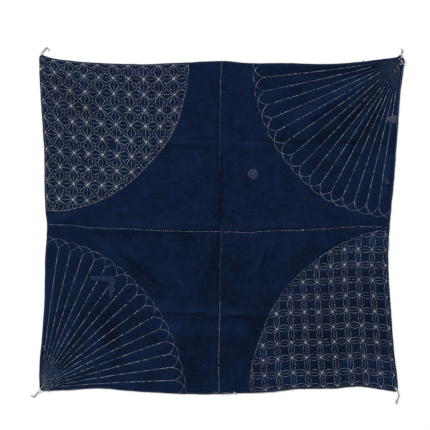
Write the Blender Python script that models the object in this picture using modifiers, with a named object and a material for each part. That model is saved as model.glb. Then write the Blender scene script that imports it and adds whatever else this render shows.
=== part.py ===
"""Indigo cotton wrapping cloth, patched and laid flat on a surface.

Two loom widths meet at a centre seam. Three mending patches lie on top, and a cotton tie leaves
each corner. +X runs to the right edge, +Y to the top edge and +Z up off the surface.
Sizes are in millimetres until a mesh or a curve takes them.
"""

import math
from collections import namedtuple

import bpy
from mathutils import Vector

MM = 0.001
CLOTH_THICKNESS = 1.6
PATCH_THICKNESS = 1.0
TIE_DIAMETER = 1.8
CLEARANCE = 0.3

# The four corners that the edges are drawn between
Corner = namedtuple("Corner", "x y")
TOP_LEFT = Corner(-347.5, 325.2)
TOP_RIGHT = Corner(347.8, 320.5)
BOTTOM_RIGHT = Corner(336.4, -318.6)
BOTTOM_LEFT = Corner(-346.9, -316.7)
CORNER_TUCK = 2.6

# How far each edge lies in from the straight line between its corners
Bow = namedtuple("Bow", "share inward")
TOP_BOWS = (
    Bow(0.0, 0.0),
    Bow(0.04, 8.0),
    Bow(0.09, 12.5),
    Bow(0.15, 15.8),
    Bow(0.28, 18.1),
    Bow(0.39, 14.7),
    Bow(0.50, 10.8),
    Bow(0.58, 14.8),
    Bow(0.67, 13.9),
    Bow(0.78, 15.2),
    Bow(0.88, 10.6),
    Bow(0.94, 5.2),
    Bow(1.0, 0.0),
)
BOTTOM_BOWS = (
    Bow(0.0, 0.0),
    Bow(0.06, 1.5),
    Bow(0.17, 5.4),
    Bow(0.24, 1.2),
    Bow(0.33, -2.6),
    Bow(0.44, -5.1),
    Bow(0.55, -3.4),
    Bow(0.65, -0.4),
    Bow(0.71, 4.9),
    Bow(0.82, 6.5),
    Bow(0.89, 10.2),
    Bow(0.95, 5.2),
    Bow(1.0, 0.0),
)
LEFT_BOWS = (
    Bow(0.0, 0.0),
    Bow(0.08, 0.2),
    Bow(0.18, 6.0),
    Bow(0.28, 9.9),
    Bow(0.40, 11.4),
    Bow(0.49, 14.9),
    Bow(0.55, 11.2),
    Bow(0.72, 9.1),
    Bow(0.84, 4.2),
    Bow(0.94, 0.6),
    Bow(1.0, 0.0),
)
RIGHT_BOWS = (
    Bow(0.0, 0.0),
    Bow(0.05, 2.8),
    Bow(0.13, 9.7),
    Bow(0.25, 17.0),
    Bow(0.36, 22.6),
    Bow(0.45, 23.4),
    Bow(0.55, 19.2),
    Bow(0.65, 14.3),
    Bow(0.79, 9.7),
    Bow(0.90, 5.4),
    Bow(0.97, 0.4),
    Bow(1.0, 0.0),
)

# Where the seam runs, as a share of the width, at each share of the height
SeamPoint = namedtuple("SeamPoint", "height_share width_share")
SEAM = (
    SeamPoint(0.0, 0.5065),
    SeamPoint(0.14, 0.5105),
    SeamPoint(0.27, 0.507),
    SeamPoint(0.50, 0.5015),
    SeamPoint(0.72, 0.4957),
    SeamPoint(1.0, 0.4948),
)
PANEL_COLUMNS = 26
PANEL_ROWS = 50

# Soft folds that lift the cloth off the surface, as ridges from start to end
Fold = namedtuple("Fold", "name start end half_width height")
FOLDS = (
    Fold("upper quarter crease", (-112, 157), (155, 150), 17, 2.0),
    Fold("half crease", (-300, -4), (285, -6), 16, 1.6),
    Fold("lower quarter crease", (-185, -165), (112, -178), 18, 3.2),
    Fold("swell below it", (-135, -198), (72, -212), 26, 3.4),
    Fold("slanting fold", (103, -22), (62, -104), 20, 2.8),
    Fold("upright fold", (107, 146), (108, 62), 15, 1.8),
    Fold("fold outside the lower left fan", (-264, -6), (-104, -146), 14, 2.6),
    Fold("top right pull, steep", (322, 292), (190, 158), 22, 3.2),
    Fold("top right pull, middle", (318, 300), (112, 178), 20, 2.8),
    Fold("top right pull, low", (322, 278), (215, 112), 16, 2.6),
    Fold("lower left pull, steep", (-328, -288), (-262, -150), 20, 2.8),
    Fold("lower left pull, flat", (-318, -300), (-176, -236), 20, 2.8),
    Fold("top left pull", (-326, 300), (-250, 222), 20, 3.0),
    Fold("lower right pull", (322, -296), (262, -226), 22, 3.2),
    Fold("bottom hem wave, right", (262, -306), (240, -252), 24, 3.6),
    Fold("bottom hem wave, left", (-228, -310), (-222, -262), 22, 3.0),
    Fold("top hem wave, left", (-150, 300), (-140, 246), 24, 3.0),
    Fold("top hem wave, right", (54, 302), (62, 250), 22, 2.6),
    Fold("left hem wave", (-330, 4), (-282, 18), 20, 3.0),
    Fold("right hem wave", (322, -42), (270, -30), 22, 3.0),
)
FOLD_END_SHARE = 0.22

ROUND_PATCH_CENTRE = (60.5, 96.3)
ROUND_PATCH_RADIUS = 10.0
ROUND_PATCH_POINT = 1.6
ROUND_PATCH_POINT_ANGLE = math.radians(-56)
EDGE_PATCH_TIP = (314.2, 200.2)
EDGE_PATCH_LENGTH = 19.6
EDGE_PATCH_WIDTH = 14.0
TEAR_PATCH_CORNER = (-201.6, -97.4)
TEAR_PATCH_ARM_LENGTH = 48.0
TEAR_PATCH_LEG_LENGTH = 46.0
TEAR_PATCH_WIDTH = 11.5
TEAR_PATCH_TAPER = 0.45
PATCH_OUTLINE_STEPS = 28

# Each tie runs over the cloth from where it is sewn, drops off the corner and ends free
TiePoint = namedtuple("TiePoint", "x y height swell")
ON_CLOTH = CLOTH_THICKNESS + CLEARANCE
TIES = {
    "tie_top_left": (
        TiePoint(-337.2, 311.8, ON_CLOTH, 1.0),
        TiePoint(-340.0, 316.4, ON_CLOTH, 1.0),
        TiePoint(-342.6, 321.2, ON_CLOTH, 1.0),
        TiePoint(-343.4, 325.2, 1.5, 1.0),
        TiePoint(-341.4, 329.4, 0.2, 1.0),
        TiePoint(-337.2, 334.0, 0.12, 1.0),
        TiePoint(-333.4, 337.6, 0.12, 0.95),
        TiePoint(-330.4, 336.4, 0.12, 0.9),
        TiePoint(-328.8, 332.8, 0.12, 0.85),
    ),
    "tie_top_right": (
        TiePoint(335.4, 302.6, ON_CLOTH, 1.0),
        TiePoint(339.8, 307.8, ON_CLOTH, 1.1),
        TiePoint(342.6, 312.8, ON_CLOTH, 1.1),
        TiePoint(342.8, 318.6, ON_CLOTH, 1.0),
        TiePoint(342.6, 323.0, 0.9, 1.0),
        TiePoint(342.2, 327.6, 0.12, 1.0),
        TiePoint(343.6, 331.6, 0.12, 1.5),
        TiePoint(342.8, 335.0, 0.12, 1.4),
    ),
    "tie_bottom_left": (
        TiePoint(-336.6, -301.8, ON_CLOTH, 1.0),
        TiePoint(-340.2, -307.4, ON_CLOTH, 1.1),
        TiePoint(-343.8, -311.6, ON_CLOTH, 1.0),
        TiePoint(-347.6, -315.6, 1.3, 1.0),
        TiePoint(-350.8, -319.2, 0.2, 1.0),
        TiePoint(-355.4, -324.6, 0.12, 1.0),
        TiePoint(-359.0, -326.2, 0.12, 1.4),
        TiePoint(-362.2, -324.2, 0.12, 1.4),
    ),
    "tie_bottom_right": (
        TiePoint(325.2, -304.6, ON_CLOTH, 1.0),
        TiePoint(329.4, -309.8, ON_CLOTH, 1.1),
        TiePoint(332.8, -314.6, ON_CLOTH, 1.0),
        TiePoint(335.8, -319.6, 1.4, 1.0),
        TiePoint(337.2, -323.2, 0.2, 1.0),
        TiePoint(335.6, -328.8, 0.12, 1.0),
        TiePoint(333.4, -333.6, 0.12, 1.4),
        TiePoint(331.6, -338.2, 0.12, 1.6),
    ),
}
TIE_POINT_SPACING = 2.4

# Colours are linear red, green, blue
PanelLook = namedtuple("PanelLook", "colour roughness")
LOOKS = {
    "left_panel": PanelLook((0.005, 0.013, 0.048), 0.9),
    "right_panel": PanelLook((0.005, 0.012, 0.045), 0.9),
    "round_patch": PanelLook((0.052, 0.058, 0.107), 0.9),
    "edge_patch": PanelLook((0.091, 0.091, 0.127), 0.9),
    "tear_patch": PanelLook((0.019, 0.032, 0.091), 0.9),
    "tie": PanelLook((0.52, 0.50, 0.46), 0.85),
}


def clear_scene():
    """Removes every object that the file opened with."""
    for old in list(bpy.data.objects):
        bpy.data.objects.remove(old, do_unlink=True)


def smooth_between(rows, share):
    """The value of the smooth curve through two-column rows at this share."""
    places = [row[0] for row in rows]
    values = [row[1] for row in rows]
    last = len(rows) - 1

    def slope(index):
        before = max(index - 1, 0)
        after = min(index + 1, last)
        return (values[after] - values[before]) / (places[after] - places[before])

    index = 0
    while index < last - 1 and share > places[index + 1]:
        index += 1
    span = places[index + 1] - places[index]
    part = min(max((share - places[index]) / span, 0.0), 1.0)
    start_pull = part * (1 - part) ** 2
    end_pull = part * part * (part - 1)
    ease = part * part * (3 - 2 * part)
    return (
        values[index] * (1 - ease)
        + values[index + 1] * ease
        + span * (slope(index) * start_pull + slope(index + 1) * end_pull)
    )


def cloth_place(across, up):
    """The place on the surface of the cloth point at these shares of its width and height."""
    bottom_x = BOTTOM_LEFT.x * (1 - across) + BOTTOM_RIGHT.x * across
    top_x = TOP_LEFT.x * (1 - across) + TOP_RIGHT.x * across
    left_y = BOTTOM_LEFT.y * (1 - up) + TOP_LEFT.y * up
    right_y = BOTTOM_RIGHT.y * (1 - up) + TOP_RIGHT.y * up
    x = bottom_x * (1 - up) + top_x * up
    y = left_y * (1 - across) + right_y * across
    x += (1 - across) * smooth_between(LEFT_BOWS, up)
    x -= across * smooth_between(RIGHT_BOWS, up)
    y += (1 - up) * smooth_between(BOTTOM_BOWS, across)
    y -= up * smooth_between(TOP_BOWS, across)
    return x, y


def lift_at(x, y):
    """How far the underside stands off the surface at this place."""
    total = 0.0
    for fold in FOLDS:
        run_x = fold.end[0] - fold.start[0]
        run_y = fold.end[1] - fold.start[1]
        length = math.hypot(run_x, run_y)
        from_x = x - fold.start[0]
        from_y = y - fold.start[1]
        along = (from_x * run_x + from_y * run_y) / length**2
        across = abs(from_x * run_y - from_y * run_x) / length
        if across >= fold.half_width or not 0 < along < 1:
            continue
        end_distance = min(along, 1 - along, FOLD_END_SHARE) / FOLD_END_SHARE
        crown = 0.5 + 0.5 * math.cos(math.pi * across / fold.half_width)
        total += fold.height * crown * math.sin(0.5 * math.pi * end_distance) ** 2
    return total


def give_look(thing, name, look_name):
    """Gives an object its own cloth or string material."""
    look = LOOKS[look_name]
    material = bpy.data.materials.new(name)
    material.use_nodes = True
    shader = material.node_tree.nodes["Principled BSDF"]
    shader.inputs["Base Color"].default_value = (*look.colour, 1)
    shader.inputs["Roughness"].default_value = look.roughness
    shader.inputs["Metallic"].default_value = 0
    material.diffuse_color = (*look.colour, 1)
    thing.data.materials.append(material)


def place_in(collection, thing):
    """Moves an object into the part's collection."""
    for holder in list(thing.users_collection):
        holder.objects.unlink(thing)
    collection.objects.link(thing)


def make_panel(collection, name, is_left):
    """One loom width: a grid laid on the cloth's outline and folds, thickened upwards."""
    bpy.ops.mesh.primitive_grid_add(x_subdivisions=PANEL_COLUMNS, y_subdivisions=PANEL_ROWS, size=2)
    panel = bpy.context.object
    panel.name = name
    panel.data.name = name
    for vertex in panel.data.vertices:
        column = (vertex.co.x + 1) / 2
        up = (vertex.co.y + 1) / 2
        seam = smooth_between(SEAM, up)
        across = seam * column if is_left else seam + (1 - seam) * column
        x, y = cloth_place(across, up)
        at_side = column < 1e-4 if is_left else column > 1 - 1e-4
        at_seam = column > 1 - 1e-4 if is_left else column < 1e-4
        toward_middle = 1 if is_left else -1
        if at_seam:
            x -= toward_middle * CLEARANCE / 2
        if at_side and (up < 1e-4 or up > 1 - 1e-4):
            x += toward_middle * CORNER_TUCK
            y += CORNER_TUCK if up < 0.5 else -CORNER_TUCK
        vertex.co = Vector((x, y, lift_at(x, y))) * MM
    thicken = panel.modifiers.new("cloth thickness", "SOLIDIFY")
    thicken.thickness = CLOTH_THICKNESS * MM
    thicken.offset = 1
    panel.data.shade_smooth()
    give_look(panel, name, name)
    place_in(collection, panel)


def make_flat_patch(collection, name, outline):
    """A flat piece of cloth of this outline, lying just clear of the panel under it."""
    curve = bpy.data.curves.new(name, "CURVE")
    curve.dimensions = "2D"
    curve.fill_mode = "BOTH"
    curve.extrude = PATCH_THICKNESS / 2 * MM
    spline = curve.splines.new("POLY")
    spline.points.add(len(outline) - 1)
    for point, (x, y) in zip(spline.points, outline):
        point.co = (x * MM, y * MM, 0, 1)
    spline.use_cyclic_u = True
    patch = bpy.data.objects.new(name, curve)
    patch.location.z = (ON_CLOTH + PATCH_THICKNESS / 2) * MM
    collection.objects.link(patch)
    give_look(patch, name, name)


def round_outline():
    """A hand-cut disc, drawn out to a slight point on one side."""
    outline = []
    for step in range(PATCH_OUTLINE_STEPS):
        angle = math.tau * step / PATCH_OUTLINE_STEPS
        near_point = max(0.0, math.cos(angle - ROUND_PATCH_POINT_ANGLE)) ** 6
        radius = ROUND_PATCH_RADIUS * (1 + 0.03 * math.sin(3 * angle)) + ROUND_PATCH_POINT * near_point
        x = ROUND_PATCH_CENTRE[0] + radius * math.cos(angle)
        y = ROUND_PATCH_CENTRE[1] + radius * math.sin(angle)
        outline.append((x, y))
    return outline


def edge_outline():
    """A half leaf: pointed at the tip, widening to a straight end along the hem."""
    steps = PATCH_OUTLINE_STEPS // 2
    upper = []
    lower = []
    for step in range(steps + 1):
        share = (step / steps) ** 1.6
        half = EDGE_PATCH_WIDTH / 2 * math.sin(0.5 * math.pi * min(1.0, share * 1.5 + 0.02)) ** 0.8
        x = EDGE_PATCH_TIP[0] + EDGE_PATCH_LENGTH * share
        upper.append((x, EDGE_PATCH_TIP[1] + half))
        lower.append((x, EDGE_PATCH_TIP[1] - half))
    return lower + upper[::-1]


def tear_outline():
    """An L over a corner tear: an arm to the left and a leg downwards, each tapering at its end."""
    right, top = TEAR_PATCH_CORNER
    width = TEAR_PATCH_WIDTH
    narrow = width * TEAR_PATCH_TAPER
    arm_end = right - TEAR_PATCH_ARM_LENGTH
    leg_end = top - TEAR_PATCH_LEG_LENGTH
    return [
        (right - 1.5, top),
        (arm_end + width, top),
        (arm_end + 2, top - 1),
        (arm_end, top - narrow),
        (arm_end + width * 0.6, top - width * 0.85),
        (right - width - 2, top - width),
        (right - width, top - width - 2),
        (right - width * 1.08, leg_end + width),
        (right - width * 0.9, leg_end),
        (right - narrow, leg_end + width * 0.5),
        (right, leg_end + width * 1.7),
        (right, top - 1.5),
    ]


def smooth_route(points, spacing):
    """Points along the smooth curve through these, about this far apart."""
    route = []
    last = len(points) - 1
    for index in range(last):
        before = points[max(index - 1, 0)]
        start = points[index]
        end = points[index + 1]
        after = points[min(index + 2, last)]
        steps = max(1, round((end.xyz - start.xyz).length / spacing))
        for step in range(steps):
            part = step / steps
            route.append(
                0.5
                * (
                    2 * start
                    + (end - before) * part
                    + (2 * before - 5 * start + 4 * end - after) * part**2
                    + (3 * start - before - 3 * end + after) * part**3
                )
            )
    route.append(points[last])
    return route


def make_tie(collection, name, rows):
    """A cotton string: a tube through the smooth curve of its points."""
    radius = TIE_DIAMETER / 2
    points = [Vector((row.x, row.y, row.height + radius * row.swell, row.swell)) for row in rows]
    route = smooth_route(points, TIE_POINT_SPACING)
    curve = bpy.data.curves.new(name, "CURVE")
    curve.dimensions = "3D"
    curve.bevel_depth = radius * MM
    curve.bevel_resolution = 2
    curve.use_fill_caps = True
    spline = curve.splines.new("POLY")
    spline.points.add(len(route) - 1)
    for point, place in zip(spline.points, route):
        point.co = (place.x * MM, place.y * MM, place.z * MM, 1)
        point.radius = place.w
    tie = bpy.data.objects.new(name, curve)
    collection.objects.link(tie)
    give_look(tie, name, "tie")


clear_scene()
cloth = bpy.data.collections.new("boro_patched_cloth")
bpy.context.scene.collection.children.link(cloth)
make_panel(cloth, "left_panel", is_left=True)
make_panel(cloth, "right_panel", is_left=False)
make_flat_patch(cloth, "round_patch", round_outline())
make_flat_patch(cloth, "edge_patch", edge_outline())
make_flat_patch(cloth, "tear_patch", tear_outline())
for tie_name, tie_rows in TIES.items():
    make_tie(cloth, tie_name, tie_rows)
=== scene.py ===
import math
from collections import namedtuple

import bmesh
import bpy
import numpy as np
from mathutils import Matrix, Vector, geometry, kdtree, noise


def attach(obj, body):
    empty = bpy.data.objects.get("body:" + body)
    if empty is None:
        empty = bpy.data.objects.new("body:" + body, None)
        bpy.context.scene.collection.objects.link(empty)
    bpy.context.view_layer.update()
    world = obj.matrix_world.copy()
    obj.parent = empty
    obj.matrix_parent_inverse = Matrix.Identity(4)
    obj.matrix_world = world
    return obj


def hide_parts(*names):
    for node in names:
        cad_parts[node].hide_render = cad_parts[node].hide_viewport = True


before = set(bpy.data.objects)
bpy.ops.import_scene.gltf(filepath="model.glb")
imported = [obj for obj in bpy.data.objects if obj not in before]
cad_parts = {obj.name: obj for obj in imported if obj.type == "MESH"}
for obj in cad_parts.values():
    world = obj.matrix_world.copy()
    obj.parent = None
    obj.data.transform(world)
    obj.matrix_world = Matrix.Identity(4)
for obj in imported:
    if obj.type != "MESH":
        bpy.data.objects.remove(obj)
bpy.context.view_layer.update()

# Camera: the cloth is seen from straight above, through a long lens.
# One pixel of the photograph is 1.905 mm of cloth, and the frame is 430 pixels square.
MM = 0.001
PIXEL = 1.905
FRAME_PIXELS = 430
FRAME_CENTRE = (-12.3, 18.5)
LENS = 100
SENSOR = 36

camera_data = bpy.data.cameras.new("camera above")
camera_data.lens = LENS
camera_data.sensor_width = SENSOR
camera = bpy.data.objects.new("camera above", camera_data)
bpy.context.scene.collection.objects.link(camera)
camera_height = PIXEL * FRAME_PIXELS * LENS / SENSOR
camera.location = Vector((*FRAME_CENTRE, camera_height)) * MM
bpy.context.scene.camera = camera

# Corner ties: soft undyed cotton string of three plies, its colour greyed as painted shade, one sewn to each
# corner.
# Each runs over the cloth, stained where it is sewn down, and ends free, knotted or unravelled.
# The routes are the ones that the solids follow, in millimetres.
TiePoint = namedtuple("TiePoint", "x y height swell")
Tie = namedtuple("Tie", "node far_end seed sewn stain points")
TIE_DIAMETER = 1.8
ON_CLOTH = 1.9
TIES = (
    Tie("tie_top_left", "bare", 3, 15.5, 0.92, (
        TiePoint(-337.2, 311.8, ON_CLOTH, 1.0),
        TiePoint(-340.0, 316.4, ON_CLOTH, 1.0),
        TiePoint(-342.6, 321.2, ON_CLOTH, 1.0),
        TiePoint(-343.4, 325.2, 1.5, 1.0),
        TiePoint(-341.4, 329.4, 0.2, 1.0),
        TiePoint(-337.2, 334.0, 0.12, 1.0),
        TiePoint(-333.4, 337.6, 0.12, 0.95),
        TiePoint(-330.4, 336.4, 0.12, 0.9),
        TiePoint(-328.8, 332.8, 0.12, 0.85),
    )),
    Tie("tie_top_right", "knot", 5, 17.5, 0.92, (
        TiePoint(335.4, 302.6, ON_CLOTH, 1.0),
        TiePoint(339.8, 307.8, ON_CLOTH, 1.1),
        TiePoint(342.6, 312.8, ON_CLOTH, 1.1),
        TiePoint(342.8, 318.6, ON_CLOTH, 1.0),
        TiePoint(342.6, 323.0, 0.9, 1.0),
        TiePoint(342.2, 327.6, 0.12, 1.0),
        TiePoint(343.6, 331.6, 0.12, 1.5),
        TiePoint(342.8, 335.0, 0.12, 1.4),
    )),
    Tie("tie_bottom_left", "knot", 7, 14.0, 0.6, (
        TiePoint(-336.6, -301.8, ON_CLOTH, 1.0),
        TiePoint(-340.2, -307.4, ON_CLOTH, 1.1),
        TiePoint(-343.8, -311.6, ON_CLOTH, 1.0),
        TiePoint(-347.6, -315.6, 1.3, 1.0),
        TiePoint(-350.8, -319.2, 0.2, 1.0),
        TiePoint(-355.4, -324.6, 0.12, 1.0),
        TiePoint(-359.0, -326.2, 0.12, 1.4),
        TiePoint(-362.2, -324.2, 0.12, 1.4),
    )),
    Tie("tie_bottom_right", "knot", 11, 10.0, 0.92, (
        TiePoint(325.2, -304.6, ON_CLOTH, 1.0),
        TiePoint(329.4, -309.8, ON_CLOTH, 1.1),
        TiePoint(332.8, -314.6, ON_CLOTH, 1.0),
        TiePoint(335.8, -319.6, 1.4, 1.0),
        TiePoint(337.2, -323.2, 0.2, 1.0),
        TiePoint(335.6, -328.8, 0.12, 1.0),
        TiePoint(333.4, -333.6, 0.12, 1.4),
        TiePoint(331.6, -338.2, 0.12, 1.6),
    )),
)
PLIES = 3
PLY_SIDES = 7
PLY_TWIST = 3.4
PLY_STEP = 0.55
STAIN_FADE = 3.0
FIBRES = 16
FIBRE_LENGTH = 2.2
FIBRE_DIAMETER = 0.2


def to_linear(hex_colour):
    """An sRGB hex colour as linear red, green, blue and alpha."""
    channels = [int(hex_colour[place:place + 2], 16) / 255 for place in (1, 3, 5)]
    return [c / 12.92 if c <= 0.04045 else ((c + 0.055) / 1.055) ** 2.4 for c in channels] + [1.0]


def add(tree, kind, inputs=None, **settings):
    """Adds a node with its settings, and gives each named input its value or its link."""
    node = tree.nodes.new(kind)
    for name, value in settings.items():
        setattr(node, name, value)
    for key, value in (inputs or {}).items():
        if isinstance(value, bpy.types.NodeSocket):
            tree.links.new(value, node.inputs[key])
        else:
            node.inputs[key].default_value = value
    return node


def new_material(name, roughness, specular, sheen):
    """A material of this name, with its node tree and its shader."""
    material = bpy.data.materials.new(name)
    material.use_nodes = True
    shader = material.node_tree.nodes["Principled BSDF"]
    shader.inputs["Roughness"].default_value = roughness
    shader.inputs["Specular IOR Level"].default_value = specular
    shader.inputs["Sheen Weight"].default_value = sheen
    return material, material.node_tree, shader


def put_in_scene(name, mesh):
    """A new object for a mesh that already holds its place."""
    piece = bpy.data.objects.new(name, mesh)
    bpy.context.scene.collection.objects.link(piece)
    return piece


def cotton_string():
    """Undyed cotton string, twisted, its colour greyed as painted shade: soft, matt, darker between the
    plies.
    """
    material, tree, shader = new_material("undyed twisted cotton string", 0.9, 0.2, 0.3)
    place = add(tree, "ShaderNodeTexCoord").outputs["Object"]
    # Painted shade: the string's two greys stand in for the shade in its twist and along its sides; the noise
    # blends them unevenly, like soiling.
    soil_and_painted_shade = add(tree, "ShaderNodeTexNoise", {"Vector": place, "Scale": 260.0, "Detail": 4.0})
    colour = add(
        tree,
        "ShaderNodeMix",
        {0: soil_and_painted_shade.outputs["Fac"], 6: to_linear("#6C7686"), 7: to_linear("#C6CAD2")},
        data_type="RGBA",
    )
    stained = add(tree, "ShaderNodeAttribute", attribute_name="stained").outputs["Fac"]
    colour = add(
        tree, "ShaderNodeMix", {0: stained, 6: colour.outputs[2], 7: to_linear("#0C1D3C")}, data_type="RGBA"
    )
    tree.links.new(colour.outputs[2], shader.inputs["Base Color"])
    fuzz = add(tree, "ShaderNodeTexNoise", {"Vector": place, "Scale": 2400.0, "Detail": 2.0})
    bump = add(tree, "ShaderNodeBump", {"Height": fuzz.outputs["Fac"], "Strength": 0.5, "Distance": 0.0002})
    tree.links.new(bump.outputs["Normal"], shader.inputs["Normal"])
    return material


def smooth_route(points, spacing):
    """Points along the smooth curve through these, about this far apart."""
    route = []
    last = len(points) - 1
    for index in range(last):
        before = points[max(index - 1, 0)]
        start = points[index]
        end = points[index + 1]
        after = points[min(index + 2, last)]
        steps = max(1, round((end.xyz - start.xyz).length / spacing))
        for step in range(steps):
            part = step / steps
            route.append(
                0.5
                * (
                    2 * start
                    + (end - before) * part
                    + (2 * before - 5 * start + 4 * end - after) * part**2
                    + (3 * start - before - 3 * end + after) * part**3
                )
            )
    route.append(points[last])
    return route


def add_tube(shape, centres, radii, sides):
    """A closed tube with pointed ends along these centres, added to a bmesh in metres."""
    rings = []
    for index, (centre, radius) in enumerate(zip(centres, radii)):
        ahead = centres[min(index + 1, len(centres) - 1)]
        behind = centres[max(index - 1, 0)]
        along = (ahead - behind).normalized()
        side = along.cross(Vector((0, 0, 1))).normalized()
        over = side.cross(along)
        ring = []
        for step in range(sides):
            angle = math.tau * step / sides
            spoke = side * math.cos(angle) + over * math.sin(angle)
            ring.append(shape.verts.new((centre + spoke * radius) * MM))
        rings.append(ring)
    for first, second in zip(rings, rings[1:]):
        for step in range(sides):
            after = (step + 1) % sides
            shape.faces.new((first[step], first[after], second[after], second[step]))
    start = shape.verts.new(centres[0] * MM)
    end = shape.verts.new(centres[-1] * MM)
    for step in range(sides):
        after = (step + 1) % sides
        shape.faces.new((start, rings[0][after], rings[0][step]))
        shape.faces.new((end, rings[-1][step], rings[-1][after]))


def twisted_string(tie, route):
    """The string's plies wound round its route, with loose fibres at its free end."""
    shape = bmesh.new()
    radius = TIE_DIAMETER / 2
    for ply in range(PLIES):
        centres = []
        radii = []
        travelled = 0.0
        for index, point in enumerate(route):
            ahead = route[min(index + 1, len(route) - 1)]
            behind = route[max(index - 1, 0)]
            along = (ahead - behind).xyz.normalized()
            side = along.cross(Vector((0, 0, 1))).normalized()
            over = side.cross(along)
            angle = math.tau * (travelled / PLY_TWIST + ply / PLIES)
            spoke = side * math.cos(angle) + over * math.sin(angle)
            centre = point.xyz + spoke * radius * 0.46 * point.w
            thickness = radius * 0.52 * point.w
            centres.append(Vector((centre.x, centre.y, max(centre.z, thickness))))
            radii.append(thickness)
            travelled += (ahead - point).xyz.length
        radii[0] *= 0.7
        radii[-1] *= 0.6
        add_tube(shape, centres, radii, PLY_SIDES)
    draw = np.random.default_rng(tie.seed)
    end = route[-1]
    heading = (route[-1] - route[-4]).xyz.normalized()
    for _ in range(FIBRES):
        spread = Vector(draw.normal(0, 0.55, 3))
        spread.z = abs(spread.z) * 0.4
        start = end.xyz + Vector(draw.uniform(-0.5, 0.5, 3)) * radius * end.w
        reach = (heading + spread).normalized() * FIBRE_LENGTH * draw.uniform(0.6, 1.0)
        fibre = [start + reach * part + Vector((0, 0, -0.5)) * part**2 for part in (0.0, 0.35, 0.7, 1.0)]
        for place in fibre:
            place.z = max(place.z, FIBRE_DIAMETER)
        add_tube(shape, fibre, [FIBRE_DIAMETER / 2] * 4, 3)
    bmesh.ops.recalc_face_normals(shape, faces=shape.faces)
    mesh = bpy.data.meshes.new(tie.node.replace("tie", "string"))
    shape.to_mesh(mesh)
    shape.free()
    mesh.shade_smooth()
    places = np.array([vertex.co[:] for vertex in mesh.vertices]) / MM
    centres = np.array([point.xyz[:] for point in route])
    nearest = np.argmin(np.linalg.norm(places[:, None] - centres[None], axis=2), axis=1)
    stained = tie.stain * np.clip((tie.sewn - nearest * PLY_STEP) / STAIN_FADE, 0, 1)
    attribute = mesh.attributes.new("stained", "FLOAT", "POINT")
    attribute.data.foreach_set("value", stained.astype(np.float32))
    return mesh


string_material = cotton_string()
for tie in TIES:
    radius = TIE_DIAMETER / 2
    knots = [Vector((row.x, row.y, row.height + radius * row.swell, row.swell)) for row in tie.points]
    route = smooth_route(knots, PLY_STEP)
    string = put_in_scene(tie.node.replace("tie", "string"), twisted_string(tie, route))
    string.data.materials.append(string_material)
    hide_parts(tie.node)
    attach(string, "root")

# The two loom widths: hand-woven cotton, dyed in indigo before it was sewn, now worn and soft.
# They meet at a seam down the middle, and the outer edges are turned twice and sewn as a hem.
# Places on the cloth are millimetres across it and up it from the bottom left corner, as cut.
CLOTH_WIDTH = 680.0
CLOTH_HEIGHT = 640.0
CLOTH_THICKNESS = 1.6
CORNER_RADIUS = 8.0
TOP_LEFT = (-347.5, 325.2)
TOP_RIGHT = (347.8, 320.5)
BOTTOM_RIGHT = (336.4, -318.6)
BOTTOM_LEFT = (-346.9, -316.7)
TOP_BOWS = (
    (0.0, 0.0), (0.04, 8.0), (0.09, 12.5), (0.15, 15.8), (0.28, 18.1), (0.39, 14.7), (0.50, 10.8),
    (0.58, 14.8), (0.67, 13.9), (0.78, 15.2), (0.88, 10.6), (0.94, 5.2), (1.0, 0.0),
)
BOTTOM_BOWS = (
    (0.0, 0.0), (0.06, 1.5), (0.17, 5.4), (0.24, 1.2), (0.33, -2.6), (0.44, -5.1), (0.55, -3.4),
    (0.65, -0.4), (0.71, 4.9), (0.82, 6.5), (0.89, 10.2), (0.95, 5.2), (1.0, 0.0),
)
LEFT_BOWS = (
    (0.0, 0.0), (0.08, 0.2), (0.18, 6.0), (0.28, 9.9), (0.40, 11.4), (0.49, 14.9),
    (0.55, 11.2), (0.72, 9.1), (0.84, 4.2), (0.94, 0.6), (1.0, 0.0),
)
RIGHT_BOWS = (
    (0.0, 0.0), (0.05, 2.8), (0.13, 9.7), (0.25, 17.0), (0.36, 22.6), (0.45, 23.4),
    (0.55, 19.2), (0.65, 14.3), (0.79, 9.7), (0.90, 5.4), (0.97, 0.4), (1.0, 0.0),
)
SEAM = ((0.0, 0.5065), (0.14, 0.5105), (0.27, 0.507), (0.50, 0.5015), (0.72, 0.4957), (1.0, 0.4948))

# Folds lift the whole sheet, and creases are pressed into it: a trough has a negative height
Fold = namedtuple("Fold", "name start end half_width height")
FOLDS = (
    Fold("upper quarter crease", (-112, 157), (155, 150), 17, 2.0),
    Fold("half crease", (-300, -4), (285, -6), 16, 1.6),
    Fold("lower quarter crease", (-185, -165), (112, -178), 18, 3.2),
    Fold("swell below it", (-135, -198), (72, -212), 26, 3.4),
    Fold("slanting fold", (103, -22), (62, -104), 20, 2.8),
    Fold("upright fold", (107, 146), (108, 62), 15, 1.8),
    Fold("fold outside the lower left fan", (-264, -6), (-104, -146), 14, 2.6),
    Fold("top right pull, steep", (322, 292), (190, 158), 22, 3.2),
    Fold("top right pull, middle", (318, 300), (112, 178), 20, 2.8),
    Fold("top right pull, low", (322, 278), (215, 112), 16, 2.6),
    Fold("lower left pull, steep", (-328, -288), (-262, -150), 20, 2.8),
    Fold("lower left pull, flat", (-318, -300), (-176, -236), 20, 2.8),
    Fold("top left pull", (-326, 300), (-250, 222), 20, 3.0),
    Fold("lower right pull", (322, -296), (262, -226), 22, 3.2),
    Fold("bottom hem wave, right", (262, -306), (240, -252), 24, 3.6),
    Fold("bottom hem wave, left", (-228, -310), (-222, -262), 22, 3.0),
    Fold("top hem wave, left", (-150, 300), (-140, 246), 24, 3.0),
    Fold("top hem wave, right", (54, 302), (62, 250), 22, 2.6),
    Fold("left hem wave", (-330, 4), (-282, 18), 20, 3.0),
    Fold("right hem wave", (322, -42), (270, -30), 22, 3.0),
)
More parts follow.
